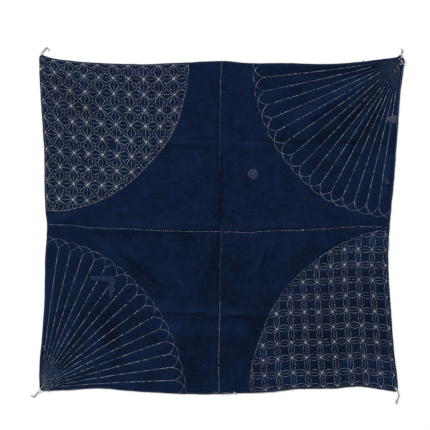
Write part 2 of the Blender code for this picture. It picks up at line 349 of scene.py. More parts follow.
CREASES = (
    Fold("upper quarter crease, left", (-80, 163), (-4, 165), 5, -0.6),
    Fold("second upper crease, left", (-132, 147), (-4, 147), 5, -0.6),
    Fold("upper quarter crease, right", (2, 163), (330, 152), 5, -0.65),
    Fold("lower quarter crease, left", (-150, -168), (-12, -173), 5, -0.95),
    Fold("lower quarter crease, right", (2, -174), (100, -179), 6, -1.05),
    Fold("crease across the lower fan", (-335, -166), (-190, -172), 4, -0.5),
    Fold("half crease, left", (-300, -16), (-6, -15), 5, -0.5),
    Fold("half crease, right", (6, -14), (290, -4), 5, -0.5),
    Fold("trough outside the lens arc", (235, -40), (92, -148), 9, -0.55),
    Fold("slanting trough", (92, -32), (72, -92), 7, -0.6),
    Fold("trough outside the lower fan", (-214, -42), (-92, -132), 6, -0.6),
    Fold("second trough there", (-188, -68), (-128, -126), 5, -0.4),
    Fold("upright trough", (100, 158), (98, 40), 5, -0.25),
    Fold("valley beside the seam", (0.4, 146), (0.0, -12), 4.5, -0.9),
)
STAINS = (
    Fold("brown stain, top left", (-322, 302), (-262, 214), 22, 0.6),
    Fold("second stain beside it", (-300, 240), (-236, 196), 16, 0.35),
)

# Where the dye is worn paler (above 0), and where the colour is darker (below 0): painted shade along folds,
# troughs and the fans' wedges, and darker ground in broad areas
WEAR_AND_PAINTED_SHADE = (
    # Painted shade: darker beside the trough outside the lens arc.
    Fold("painted shade outside the lens arc, top", (210, -30), (96, -104), 26, -0.2),
    Fold("painted shade outside the lens arc, foot", (108, -84), (34, -280), 30, -0.18),
    # Darker ground.
    Fold("darker ground in the linked ovals", (330, -120), (120, -300), 120, -0.2),
    Fold("darker ground left of the seam, foot", (-60, -200), (-48, -330), 52, -0.14),
    # Painted shade: dark wedges beside the pulled folds of the upper fan.
    Fold("dark wedge in the upper fan", (318, 276), (160, 140), 24, -0.3),
    Fold("dark wedge in the upper fan, low", (300, 230), (262, 150), 14, -0.2),
    # Darker ground.
    Fold("dark strip under the top hem", (330, 300), (60, 286), 16, -0.2),
    # Painted shade: darker beside the folds and troughs of the lower fan and along the half crease.
    Fold("dark wedge in the lower fan", (-246, -130), (-196, -236), 30, -0.22),
    Fold("painted shade outside the lower fan", (-190, -60), (-96, -150), 20, -0.2),
    Fold("painted shade under the half crease", (-250, -22), (-20, -28), 12, -0.18),
    # Darker ground.
    Fold("darker ground beside the hemp leaf", (-120, 160), (-96, 60), 20, -0.15),
    # Painted shade: darker along the creases at the level line and below the lower crease.
    Fold("dark above the level line, left", (-80, -3), (-6, -3), 7, -0.14),
    Fold("dark above the level line, right", (6, 2), (72, 0), 8, -0.14),
    Fold("dark below the lower crease", (-120, -190), (70, -202), 16, -0.06),
    # Darker ground over broad areas.
    Fold("darker ground below the half crease", (0, -10), (-10, -330), 110, -0.15),
    Fold("darker ground beside the seam", (0, 130), (0, -70), 26, -0.1),
    Fold("darker ground right of the seam", (70, -20), (40, -170), 50, -0.06),
    Fold("darker ground in the upper fan", (330, 290), (130, 110), 130, -0.08),
    Fold("darker ground in the lower fan", (-330, -290), (-130, -110), 120, -0.08),
    Fold("pale left hem, foot", (-332, -60), (-336, -300), 26, 0.14),
    Fold("pale left hem, top", (-336, 290), (-328, 60), 18, 0.06),
    Fold("pale patch at the right hem", (314, 160), (306, 40), 16, 0.25),
    Fold("pale right hem, top", (334, 290), (322, 170), 18, 0.2),
    Fold("pale corner, bottom left", (-342, -310), (-310, -262), 26, 0.45),
    Fold("pale ground in the upper fan", (250, 250), (130, 190), 20, 0.06),
    Fold("pale ground, centre left", (-150, 120), (-60, 96), 26, 0.15),
    Fold("pale ground below the level line", (-110, -70), (-50, -130), 26, 0.12),
    Fold("scuff, centre left", (-51, 139), (-42, 118), 2.2, 1.1),
    Fold("scuff, upper right of the seam", (20, 184), (34, 196), 2.2, 1.0),
    Fold("scuff, left", (-186, 36), (-176, 22), 2.4, 0.8),
    Fold("scuff under the disc patch", (24, 22), (32, 8), 2.4, 0.9),
    Fold("scuff, right", (150, 104), (158, 96), 2.2, 0.8),
    Fold("scuff low, left of the seam", (-84, -102), (-76, -112), 2.4, 0.7),
)
FOLD_END_SHARE = 0.22
HEM_WIDTH = 8.5
HEM_RISE = 0.28
EDGE_ROLL = 1.4
SEAM_ROLL = 2.2
SEAM_DEPTH = 0.3
SEAM_OVERLAP = 0.4
CRUMPLE_DEPTH = 0.45
GRID_STEP = 2.6
EDGE_STEPS = (0.0, 0.5, 1.1, 2.0, 3.4, 5.0, 6.8, 8.4, 9.8)
SEAM_STEPS = (0.0, 0.7, 1.6, 3.2)


def through(rows, share):
    """The smooth curve through two-column rows, at an array of shares."""
    places, values = np.array(rows, float).T
    last = len(places) - 1
    after = np.minimum(np.arange(last + 1) + 1, last)
    before = np.maximum(np.arange(last + 1) - 1, 0)
    slopes = (values[after] - values[before]) / (places[after] - places[before])
    index = np.searchsorted(places[1:-1], share, side="left")
    span = places[index + 1] - places[index]
    part = np.clip((share - places[index]) / span, 0.0, 1.0)
    ease = part * part * (3 - 2 * part)
    pull = slopes[index] * part * (1 - part) ** 2 + slopes[index + 1] * part * part * (part - 1)
    return values[index] * (1 - ease) + values[index + 1] * ease + span * pull


def waver(first, second, size, seed):
    """Smooth noise from about -1 to 1 over two arrays, with this size of feature."""
    flat = zip((np.ravel(first) / size).tolist(), (np.ravel(second) / size).tolist())
    values = [noise.noise(Vector((one, two, seed))) for one, two in flat]
    return np.reshape(values, np.shape(first))


def rounded_corner(over, up):
    """Draws a place within a corner's radius of two edges in, to make the corner round."""
    past_side = np.maximum(CORNER_RADIUS - over, 0)
    past_end = np.maximum(CORNER_RADIUS - up, 0)
    reach = np.maximum(np.hypot(past_side, past_end), 1e-9)
    squeeze = np.maximum(past_side, past_end) / reach
    near = (past_side > 0) & (past_end > 0)
    return (
        np.where(near, CORNER_RADIUS - past_side * squeeze, over),
        np.where(near, CORNER_RADIUS - past_end * squeeze, up),
    )


def place_of(u, v):
    """Where a place on the cloth lies on the surface, in millimetres."""
    over = np.minimum(u, CLOTH_WIDTH - u)
    under = np.minimum(v, CLOTH_HEIGHT - v)
    new_over, new_under = rounded_corner(over, under)
    across = np.where(u < CLOTH_WIDTH / 2, u + new_over - over, u - new_over + over) / CLOTH_WIDTH
    up = np.where(v < CLOTH_HEIGHT / 2, v + new_under - under, v - new_under + under) / CLOTH_HEIGHT
    bottom_x = BOTTOM_LEFT[0] * (1 - across) + BOTTOM_RIGHT[0] * across
    top_x = TOP_LEFT[0] * (1 - across) + TOP_RIGHT[0] * across
    left_y = BOTTOM_LEFT[1] * (1 - up) + TOP_LEFT[1] * up
    right_y = BOTTOM_RIGHT[1] * (1 - up) + TOP_RIGHT[1] * up
    x = bottom_x * (1 - up) + top_x * up
    y = left_y * (1 - across) + right_y * across
    x += (1 - across) * through(LEFT_BOWS, up) - across * through(RIGHT_BOWS, up)
    y += (1 - up) * through(BOTTOM_BOWS, across) - up * through(TOP_BOWS, across)
    x += 0.5 * waver(u * 0.2, v, 14.0, 2.5)
    y += 0.5 * waver(u, v * 0.2, 14.0, 7.5)
    return x, y


def raised_by(folds, x, y):
    """How far these folds or creases lift the sheet at each place."""
    total = np.zeros_like(x)
    for fold in folds:
        run_x = fold.end[0] - fold.start[0]
        run_y = fold.end[1] - fold.start[1]
        length = math.hypot(run_x, run_y)
        along = ((x - fold.start[0]) * run_x + (y - fold.start[1]) * run_y) / length**2
        across = np.abs((x - fold.start[0]) * run_y - (y - fold.start[1]) * run_x) / length
        end_share = np.clip(np.minimum(along, 1 - along) / FOLD_END_SHARE, 0, 1)
        crown = 0.5 + 0.5 * np.cos(math.pi * np.minimum(across / fold.half_width, 1))
        total += fold.height * crown * np.sin(0.5 * math.pi * end_share) ** 2
    return total


def seam_place(v):
    """How far across the cloth the seam runs at this height."""
    return CLOTH_WIDTH * through(SEAM, v / CLOTH_HEIGHT)


def cloth_heights(u, v, x, y):
    """The sheet's top and underside at each place, before the stitches draw it down."""
    lift = raised_by(FOLDS, x, y)
    edge = np.minimum(np.minimum(u, CLOTH_WIDTH - u), np.minimum(v, CLOTH_HEIGHT - v))
    seam = np.abs(u - seam_place(v))
    warped = x + 5 * waver(x, y, 30.0, 4.5)
    relief = raised_by(CREASES, warped, y + 3 * waver(x, y, 22.0, 9.5))
    relief += 0.5 * waver(x, y, 34.0, 0.5) + 0.22 * waver(x, y, 12.0, 1.5)
    relief -= CRUMPLE_DEPTH * (1 - np.minimum(np.abs(waver(x, y, 58.0, 3.5)) * 2.4, 1)) ** 5
    relief += HEM_RISE * np.clip((HEM_WIDTH + 1 - edge) / 1.2, 0, 1)
    relief -= 0.9 * np.clip(1 - edge / EDGE_ROLL, 0, 1) ** 2
    relief -= SEAM_DEPTH * np.clip(1 - seam / SEAM_ROLL, 0, 1) ** 1.5
    relief = np.maximum(relief, -1.1)
    underside = np.maximum(lift + np.minimum(relief, 0), 0)
    return lift + CLOTH_THICKNESS + relief, underside


def panel_mesh(name, is_left):
    """One loom width as a closed sheet: a fine grid over the folds, its underside and its rim."""
    inner = np.arange(EDGE_STEPS[-1] + GRID_STEP, CLOTH_WIDTH / 2 - SEAM_STEPS[-1] - 1, GRID_STEP)
    columns = np.concatenate([EDGE_STEPS, inner, CLOTH_WIDTH / 2 - np.array(SEAM_STEPS[::-1])])
    inner = np.arange(EDGE_STEPS[-1] + GRID_STEP, CLOTH_HEIGHT - EDGE_STEPS[-1] - 1, GRID_STEP)
    rows = np.concatenate([EDGE_STEPS, inner, CLOTH_HEIGHT - np.array(EDGE_STEPS[::-1])])
    shares, v = np.meshgrid(columns / (CLOTH_WIDTH / 2), rows)
    if is_left:
        u = shares * (seam_place(v) + SEAM_OVERLAP / 2)
    else:
        shares = shares[:, ::-1]
        u = CLOTH_WIDTH - shares * (CLOTH_WIDTH - seam_place(v) + SEAM_OVERLAP / 2)
    x, y = place_of(u, v)
    top, underside = cloth_heights(u, v, x, y)
    points = np.concatenate([
        np.stack([x, y, top], -1).reshape(-1, 3),
        np.stack([x, y, underside], -1).reshape(-1, 3),
    ])
    count = len(columns)
    index = np.arange(len(rows) * count).reshape(len(rows), count)
    below = index + index.size

    def quads(a, b, c, d):
        return np.stack([a.ravel(), b.ravel(), c.ravel(), d.ravel()], -1)

    faces = np.concatenate([
        quads(index[:-1, :-1], index[:-1, 1:], index[1:, 1:], index[1:, :-1]),
        quads(below[:-1, :-1], below[1:, :-1], below[1:, 1:], below[:-1, 1:]),
        quads(below[0, :-1], below[0, 1:], index[0, 1:], index[0, :-1]),
        quads(below[-1, 1:], below[-1, :-1], index[-1, :-1], index[-1, 1:]),
        quads(below[:-1, -1], below[1:, -1], index[1:, -1], index[:-1, -1]),
        quads(below[1:, 0], below[:-1, 0], index[:-1, 0], index[1:, 0]),
    ])
    mesh = bpy.data.meshes.new(name)
    mesh.from_pydata((points * MM).tolist(), [], faces.tolist())
    mesh.shade_smooth()
    edge = np.minimum(np.minimum(u, CLOTH_WIDTH - u), np.minimum(v, CLOTH_HEIGHT - v))
    # Paler at the worn edge; paler on fold tops, partly wear and partly painted highlight.
    wear_and_painted_shade = 0.12 * np.clip(1 - edge / 3.0, 0, 1) + 0.14 * np.clip(raised_by(FOLDS, x, y) / 3, 0, 1)
    # Worn paler places, painted shade and darker ground from the table above.
    wear_and_painted_shade += raised_by(WEAR_AND_PAINTED_SHADE, x + 6 * waver(x, y, 24.0, 5.5), y + 6 * waver(x, y, 24.0, 8.5))
    # Painted shade: darker along the seam furrow.
    wear_and_painted_shade -= 0.12 * np.clip(1 - np.abs(u - seam_place(v)) / 3.0, 0, 1)
    # Painted shade: darker in the creases and troughs.
    wear_and_painted_shade += 0.5 * np.clip(raised_by(CREASES, x, y), -1, 0)
    stained = raised_by(STAINS, x, y) * (0.7 + 0.6 * waver(x, y, 9.0, 6.5))
    for label, values in (("wear_and_painted_shade", wear_and_painted_shade), ("stained", stained)):
        attribute = mesh.attributes.new(label, "FLOAT", "POINT")
        attribute.data.foreach_set("value", np.tile(values.ravel(), 2).astype(np.float32))
    return mesh


# Threads of the weave are about half a millimetre apart, too fine to show, so they are drawn coarser
WEAVE_PITCH = 1.3
SLUB_WIDTH = 2.4
SLUB_LENGTH = 34.0
WARP_SLUB_SHARE = 0.4
NAP_SIZE = 2.6
FADE_SIZE = 46.0
MOTTLE_SIZE = 11.0
HUE_SIZE = 60.0
LINT_SPACING = 15.0
LINT_SIZE = 0.05


def indigo_cotton():
    """Plain-woven cotton in deep indigo: matt and uneven, with slubs, paler where it is worn, with painted
    shade in creases, troughs and the seam, and a painted highlight on fold tops.
    """
    material, tree, shader = new_material("hand-woven indigo cotton", 0.95, 0.035, 0.02)
    place = add(tree, "ShaderNodeTexCoord").outputs["Object"]
    fade = add(
        tree,
        "ShaderNodeTexNoise",
        {"Vector": place, "Scale": 1 / (FADE_SIZE * MM), "Detail": 3.0, "Roughness": 0.6},
    )
    mottle = add(
        tree,
        "ShaderNodeTexNoise",
        {"Vector": place, "Scale": 1 / (MOTTLE_SIZE * MM), "Detail": 4.0, "Roughness": 0.65},
    )
    slubs = []
    for scale_x, scale_y in ((SLUB_WIDTH, SLUB_LENGTH), (SLUB_LENGTH, SLUB_WIDTH)):
        stretched = add(
            tree, "ShaderNodeMapping", {"Vector": place, "Scale": (1 / (scale_x * MM), 1 / (scale_y * MM), 1)}
        )
        slub = add(tree, "ShaderNodeTexNoise", {"Vector": stretched.outputs[0], "Scale": 1.0, "Detail": 2.0})
        slubs.append(slub.outputs["Fac"])
    slub_total = add(
        tree, "ShaderNodeMath", {0: slubs[0], 1: WARP_SLUB_SHARE, 2: slubs[1]}, operation="MULTIPLY_ADD"
    ).outputs[0]
    # The tone shift: wear, painted shade in creases, troughs and the seam, and a painted highlight on fold
    # tops.
    wear_and_painted_shade = add(tree, "ShaderNodeAttribute", attribute_name="wear_and_painted_shade").outputs["Fac"]
    tone = add(
        tree,
        "ShaderNodeMath",
        {0: fade.outputs["Fac"], 1: 0.7, 2: wear_and_painted_shade},
        operation="MULTIPLY_ADD",
    ).outputs[0]
    tone = add(
        tree, "ShaderNodeMath", {0: mottle.outputs["Fac"], 1: 0.55, 2: tone}, operation="MULTIPLY_ADD"
    ).outputs[0]
    tone = add(tree, "ShaderNodeMath", {0: slub_total, 1: 0.5, 2: tone}, operation="MULTIPLY_ADD").outputs[0]
    tone = add(
        tree, "ShaderNodeMapRange", {"Value": tone, "From Min": 0.65, "From Max": 1.4}
    ).outputs["Result"]
    colour = add(
        tree,
        "ShaderNodeMix",
        {0: tone, 6: to_linear("#030B1E"), 7: to_linear("#0D2141")},
        data_type="RGBA",
    )
    hue = add(tree, "ShaderNodeTexNoise", {"Vector": place, "Scale": 1 / (HUE_SIZE * MM), "Detail": 8.0})
    purple = add(
        tree,
        "ShaderNodeMapRange",
        {"Value": hue.outputs["Fac"], "From Min": 0.42, "From Max": 0.66, "To Max": 0.25},
    )
    colour = add(
        tree,
        "ShaderNodeMix",
        {0: purple.outputs["Result"], 6: colour.outputs[2], 7: to_linear("#0E1430")},
        data_type="RGBA",
    )
    stained = add(tree, "ShaderNodeAttribute", attribute_name="stained").outputs["Fac"]
    colour = add(
        tree, "ShaderNodeMix", {0: stained, 6: colour.outputs[2], 7: to_linear("#120F16")}, data_type="RGBA"
    )
    nap = add(tree, "ShaderNodeTexNoise", {"Vector": place, "Scale": 1 / (NAP_SIZE * MM), "Detail": 2.0})
    nap = add(
        tree,
        "ShaderNodeMapRange",
        {"Value": nap.outputs["Fac"], "From Min": 0.4, "From Max": 0.75, "To Max": 0.12},
    )
    colour = add(
        tree,
        "ShaderNodeMix",
        {0: nap.outputs["Result"], 6: colour.outputs[2], 7: to_linear("#2C3A4C")},
        data_type="RGBA",
    )
    fleck = add(tree, "ShaderNodeTexVoronoi", {"Vector": place, "Scale": 1 / (LINT_SPACING * MM)})
    near = add(
        tree, "ShaderNodeMath", {0: fleck.outputs["Distance"], 1: LINT_SIZE}, operation="LESS_THAN"
    ).outputs[0]
    chosen = add(tree, "ShaderNodeSeparateColor", {0: fleck.outputs["Color"]}).outputs["Red"]
    chosen = add(tree, "ShaderNodeMath", {0: chosen, 1: 0.6}, operation="GREATER_THAN").outputs[0]
    lint = add(tree, "ShaderNodeMath", {0: near, 1: chosen}, operation="MULTIPLY").outputs[0]
    colour = add(
        tree, "ShaderNodeMix", {0: lint, 6: colour.outputs[2], 7: to_linear("#2B4A72")}, data_type="RGBA"
    )
    tree.links.new(colour.outputs[2], shader.inputs["Base Color"])
    wave_scale = math.tau / 20 / (WEAVE_PITCH * MM)
    warp = add(
        tree,
        "ShaderNodeTexWave",
        {"Vector": place, "Scale": wave_scale, "Distortion": 0.6, "Detail": 1.0},
        wave_type="BANDS",
        bands_direction="X",
    )
    weft = add(
        tree,
        "ShaderNodeTexWave",
        {"Vector": place, "Scale": wave_scale, "Distortion": 0.6, "Detail": 1.0},
        wave_type="BANDS",
        bands_direction="Y",
    )
    weave = add(
        tree, "ShaderNodeMath", {0: warp.outputs["Fac"], 1: weft.outputs["Fac"]}, operation="MULTIPLY"
    )
    height = add(
        tree, "ShaderNodeMath", {0: slub_total, 1: 0.6, 2: weave.outputs[0]}, operation="MULTIPLY_ADD"
    )
    bump = add(tree, "ShaderNodeBump", {"Height": height.outputs[0], "Strength": 0.35, "Distance": 0.0003})
    tree.links.new(bump.outputs["Normal"], shader.inputs["Normal"])
    return material


indigo = indigo_cotton()
panels = {}
for side, is_left in (("left", True), ("right", False)):
    panel = put_in_scene(f"{side}_loom_width", panel_mesh(f"{side}_loom_width", is_left))
    panel.data.materials.append(indigo)
    panels[side] = panel
    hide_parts(f"{side}_panel")
    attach(panel, "root")

# Mending patches: scraps of thin old cotton laid over worn places, their edges turned under.
# One is a small disc, one a half leaf at the right hem, and one an L over a corner tear.
# Each is sewn down round its edge with small stitches of dark thread, which are not drawn here.
PATCH_TOP = 2.5
PATCH_THICKNESS = 0.9
PATCH_ROLL = 1.1
PATCH_GRID = 1.6
STREAK_LENGTH = 4.0
ROUND_PATCH_CENTRE = (60.5, 96.3)
ROUND_PATCH_RADIUS = 9.7
ROUND_PATCH_POINT = 1.6
ROUND_PATCH_POINT_ANGLE = math.radians(-56)
EDGE_PATCH_TIP = (314.2, 200.2)
EDGE_PATCH_LENGTH = 19.6
EDGE_PATCH_WIDTH = 14.0
TEAR_PATCH_CORNER = (-201.6, -97.4)
TEAR_PATCH_ARM_LENGTH = 48.0
TEAR_PATCH_LEG_LENGTH = 46.0
TEAR_PATCH_WIDTH = 11.5
TEAR_PATCH_TAPER = 0.45


def round_outline():
    """A hand-cut disc, drawn out to a slight point on one side."""
    angle = np.linspace(0, math.tau, 40, endpoint=False)
    near_point = np.maximum(0, np.cos(angle - ROUND_PATCH_POINT_ANGLE)) ** 6
    radius = ROUND_PATCH_RADIUS * (1 + 0.03 * np.sin(3 * angle)) + ROUND_PATCH_POINT * near_point
    x = ROUND_PATCH_CENTRE[0] + radius * np.cos(angle)
    y = ROUND_PATCH_CENTRE[1] + radius * np.sin(angle)
    return np.stack([x, y], -1)


def edge_outline():
    """A half leaf: pointed at the tip, widening to a straight end along the hem."""
    share = np.linspace(0, 1, 17) ** 1.6
    half = EDGE_PATCH_WIDTH / 2 * np.sin(0.5 * math.pi * np.minimum(1, share * 1.5 + 0.02)) ** 0.8
    x = EDGE_PATCH_TIP[0] + EDGE_PATCH_LENGTH * share
    lower = np.stack([x, EDGE_PATCH_TIP[1] - half], -1)
    upper = np.stack([x, EDGE_PATCH_TIP[1] + half], -1)
    return np.concatenate([lower, upper[::-1]])


def tear_outline():
    """An L over a corner tear: an arm to the left and a leg downwards, each tapering at its end."""
    right, top = TEAR_PATCH_CORNER
    width = TEAR_PATCH_WIDTH
    narrow = width * TEAR_PATCH_TAPER
    arm_end = right - TEAR_PATCH_ARM_LENGTH
    leg_end = top - TEAR_PATCH_LEG_LENGTH
    return np.array([
        (right, top - 1.5),
        (right - 1.5, top),
        (arm_end + width, top),
        (arm_end + 2, top - 1),
        (arm_end, top - narrow),
        (arm_end + width * 0.6, top - width * 0.85),
        (right - width - 2, top - width),
        (right - width, top - width - 2),
        (right - width * 1.08, leg_end + width),
        (right - width * 0.9, leg_end),
        (right - narrow, leg_end + width * 0.5),
        (right, leg_end + width * 1.7),
    ])


def edge_distance(outline, x, y):
    """How far each place is from the nearest side of the outline."""
    nearest = np.full(np.shape(x), 1e9)
    for start, end in zip(outline, np.roll(outline, -1, axis=0)):
        run = end - start
        part = ((x - start[0]) * run[0] + (y - start[1]) * run[1]) / max(run @ run, 1e-9)
        part = np.clip(part, 0, 1)
        away = np.hypot(x - start[0] - part * run[0], y - start[1] - part * run[1])
        nearest = np.minimum(nearest, away)
    return nearest


def within(outline, x, y):
    """Whether each place is inside the outline."""
    inside = np.zeros(np.shape(x), bool)
    for (start_x, start_y), (end_x, end_y) in zip(outline, np.roll(outline, -1, axis=0)):
        spans = (start_y > y) != (end_y > y)
        rise = end_y - start_y if abs(end_y - start_y) > 1e-9 else 1e-9
        inside ^= spans & (x < start_x + (y - start_y) * (end_x - start_x) / rise)
    return inside


def patch_mesh(name, outline):
    """A patch's top: its outline filled with a fine net, rounded down at the turned edge."""
    low = outline.min(0)
    high = outline.max(0)
    net_x, net_y = np.meshgrid(
        np.arange(low[0], high[0], PATCH_GRID), np.arange(low[1], high[1], PATCH_GRID)
    )
    inside = within(outline, net_x, net_y) & (edge_distance(outline, net_x, net_y) > 0.7)
    points = [Vector(p) for p in outline.tolist()]
    points += [Vector((a, b)) for a, b in zip(net_x[inside].tolist(), net_y[inside].tolist())]
    rim = [(k, (k + 1) % len(outline)) for k in range(len(outline))]
    made = geometry.delaunay_2d_cdt(points, rim, [], 1, 1e-5)
    flat = np.array([tuple(p) for p in made[0]])
    away = edge_distance(outline, flat[:, 0], flat[:, 1])
    top = PATCH_TOP - 0.55 * np.clip(1 - away / PATCH_ROLL, 0, 1) ** 2
    top += 0.22 * waver(flat[:, 0], flat[:, 1], 4.5, 12.5)
    mesh = bpy.data.meshes.new(name)
    mesh.from_pydata((np.column_stack([flat, top]) * MM).tolist(), [], made[2])
    mesh.shade_smooth()
    # The patch's paler turned rim, where it is worn.
    wear_and_painted_shade = mesh.attributes.new("rim", "FLOAT", "POINT")
    wear_and_painted_shade.data.foreach_set("value", np.clip(1 - away / 1.6, 0, 1).astype(np.float32))
    shape = bmesh.new()
    shape.from_mesh(mesh)
    bmesh.ops.recalc_face_normals(shape, faces=shape.faces)
    if sum(face.normal.z for face in shape.faces) < 0:
        bmesh.ops.reverse_faces(shape, faces=shape.faces)
    shape.to_mesh(mesh)
    shape.free()
    return mesh


def patch_cotton(name, dark, light, rim, streak_width, streak_turn):
    """Thin worn cotton with soft woven streaks, paler along its turned edge."""
    material, tree, shader = new_material(name, 0.95, 0.08, 0.05)
    place = add(tree, "ShaderNodeTexCoord").outputs["Object"]
    stretched = add(
        tree,
        "ShaderNodeMapping",
        {
            "Vector": place,
            "Rotation": (0, 0, math.radians(streak_turn)),
            "Scale": (streak_width * MM, streak_width * STREAK_LENGTH * MM, 1),
        },
        vector_type="TEXTURE",
    )
    streaks = add(tree, "ShaderNodeTexNoise", {"Vector": stretched.outputs[0], "Scale": 1.0, "Detail": 2.0})
    blotch = add(tree, "ShaderNodeTexNoise", {"Vector": place, "Scale": 320.0, "Detail": 3.0})
    share = add(
        tree,
        "ShaderNodeMath",
        {0: streaks.outputs["Fac"], 1: blotch.outputs["Fac"]},
        operation="MULTIPLY",
    )
    share = add(tree, "ShaderNodeMapRange", {"Value": share.outputs[0], "From Min": 0.16, "From Max": 0.36})
    woven = add(
        tree,
        "ShaderNodeMix",
        {0: share.outputs["Result"], 6: to_linear(dark), 7: to_linear(light)},
        data_type="RGBA",
    )
    edge = add(tree, "ShaderNodeAttribute", attribute_name="rim").outputs["Fac"]
    edge = add(tree, "ShaderNodeMath", {0: edge, 1: 0.6}, operation="MULTIPLY").outputs[0]
    colour = add(
        tree, "ShaderNodeMix", {0: edge, 6: woven.outputs[2], 7: to_linear(rim)}, data_type="RGBA"
    )
    tree.links.new(colour.outputs[2], shader.inputs["Base Color"])
    bump = add(tree, "ShaderNodeBump", {"Height": blotch.outputs["Fac"], "Strength": 0.4, "Distance": 0.0004})
    tree.links.new(bump.outputs["Normal"], shader.inputs["Normal"])
    return material


Patch = namedtuple("Patch", "name node slot outline panel flat material")
PATCHES = (
    Patch(
        "mauve_disc_patch", "round_patch", "mauve_patch_cotton", round_outline(), "right_loom_width",
        (0.023, 0.023), patch_cotton("thin mauve-blue cotton", "#1C2840", "#363749", "#3A4054", 3.0, 38),
    ),
    Patch(
        "grey_hem_patch", "edge_patch", "grey_patch_cotton", edge_outline(), "right_loom_width",
        (0.020, 0.014), patch_cotton("thin grey striped cotton", "#343949", "#464853", "#484C5A", 2.2, -4),
    ),
    Patch(
        "faded_tear_patch", "tear_patch", "faded_indigo_cotton", tear_outline(), "left_loom_width",
        (0.048, 0.046), patch_cotton("thin faded indigo cotton", "#0D1A33", "#24334F", "#1F2C46", 2.0, -20),
    ),
)


for patch in PATCHES:
    piece = put_in_scene(patch.name, patch_mesh(patch.name, patch.outline))
    piece.data.materials.append(patch.material)
    thicken = piece.modifiers.new("cloth thickness", "SOLIDIFY")
    thicken.thickness = PATCH_THICKNESS * MM
    thicken.offset = -1
    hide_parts(patch.node)
    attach(piece, "root")

# Hemp leaf motif, top left: running stitch in thick, loosely twisted, undyed cotton thread.
# Stars on a hand-drawn grid, with a leaf along each grid line and a cross in each square,
# inside a quarter of an oval. Each stitch is a short raised bar that dips in at both ends.
THREAD_WIDTH = 0.55
THREAD_HEIGHT = 0.52
STITCH_SIDES = 5
STITCH_POINTS = 4
STITCH_ARCH = 0.55
STITCH_WANDER = 0.16
LINE_STEP = 1.2
PUCKER_DEPTH = 0.5
PUCKER_WIDTH = 2.1
PUCKER_SWELL = 0.25
PUCKER_SWELL_WIDTH = 6.5
LEAST_THICKNESS = 0.4
HEM_STITCH_IN = 3.5
CROSSING_REACH = 1.6
HEMP_RADII = (279.0, 295.0)
HEMP_RIM = (
    (0.0, 1.0), (10.0, 1.001), (18.0, 1.002), (27.0, 1.003), (31.0, 0.996), (36.0, 0.988), (43.0, 0.981),
    (52.0, 0.985), (62.0, 0.992), (67.0, 0.994), (72.0, 0.995), (80.0, 0.998), (90.0, 1.004),
)
HEMP_COLUMNS = 10
HEMP_ROWS = 10
HEMP_BARE_SPOT = (133.0, 479.0)
HEMP_BARE_RADIUS = 7.5


def cotton_thread():
    """Undyed cotton sewing thread, washed thin: off-white, greyed or browned from place to place."""
    material, tree, shader = new_material("undyed cotton sashiko thread", 0.9, 0.2, 0.2)
    place = add(tree, "ShaderNodeTexCoord").outputs["Object"]
    tone = add(tree, "ShaderNodeAttribute", attribute_name="tone").outputs["Fac"]
    bright = add(tree, "ShaderNodeMath", {0: tone, 1: 1.8}, operation="POWER").outputs[0]
    clean = add(
        tree,
        "ShaderNodeMix",
        {0: bright, 6: to_linear("#4A5468"), 7: to_linear("#E2E7F0")},
        data_type="RGBA",
    )
    age = add(tree, "ShaderNodeTexNoise", {"Vector": place, "Scale": 28.0, "Detail": 3.0})
    browned = add(
        tree,
        "ShaderNodeMapRange",
        {"Value": age.outputs["Fac"], "From Min": 0.5, "From Max": 0.72, "To Max": 0.4},
    )
    colour = add(
        tree,
        "ShaderNodeMix",
        {0: browned.outputs["Result"], 6: clean.outputs[2], 7: to_linear("#5E5A5E")},
        data_type="RGBA",
    )
    tree.links.new(colour.outputs[2], shader.inputs["Base Color"])
    return material


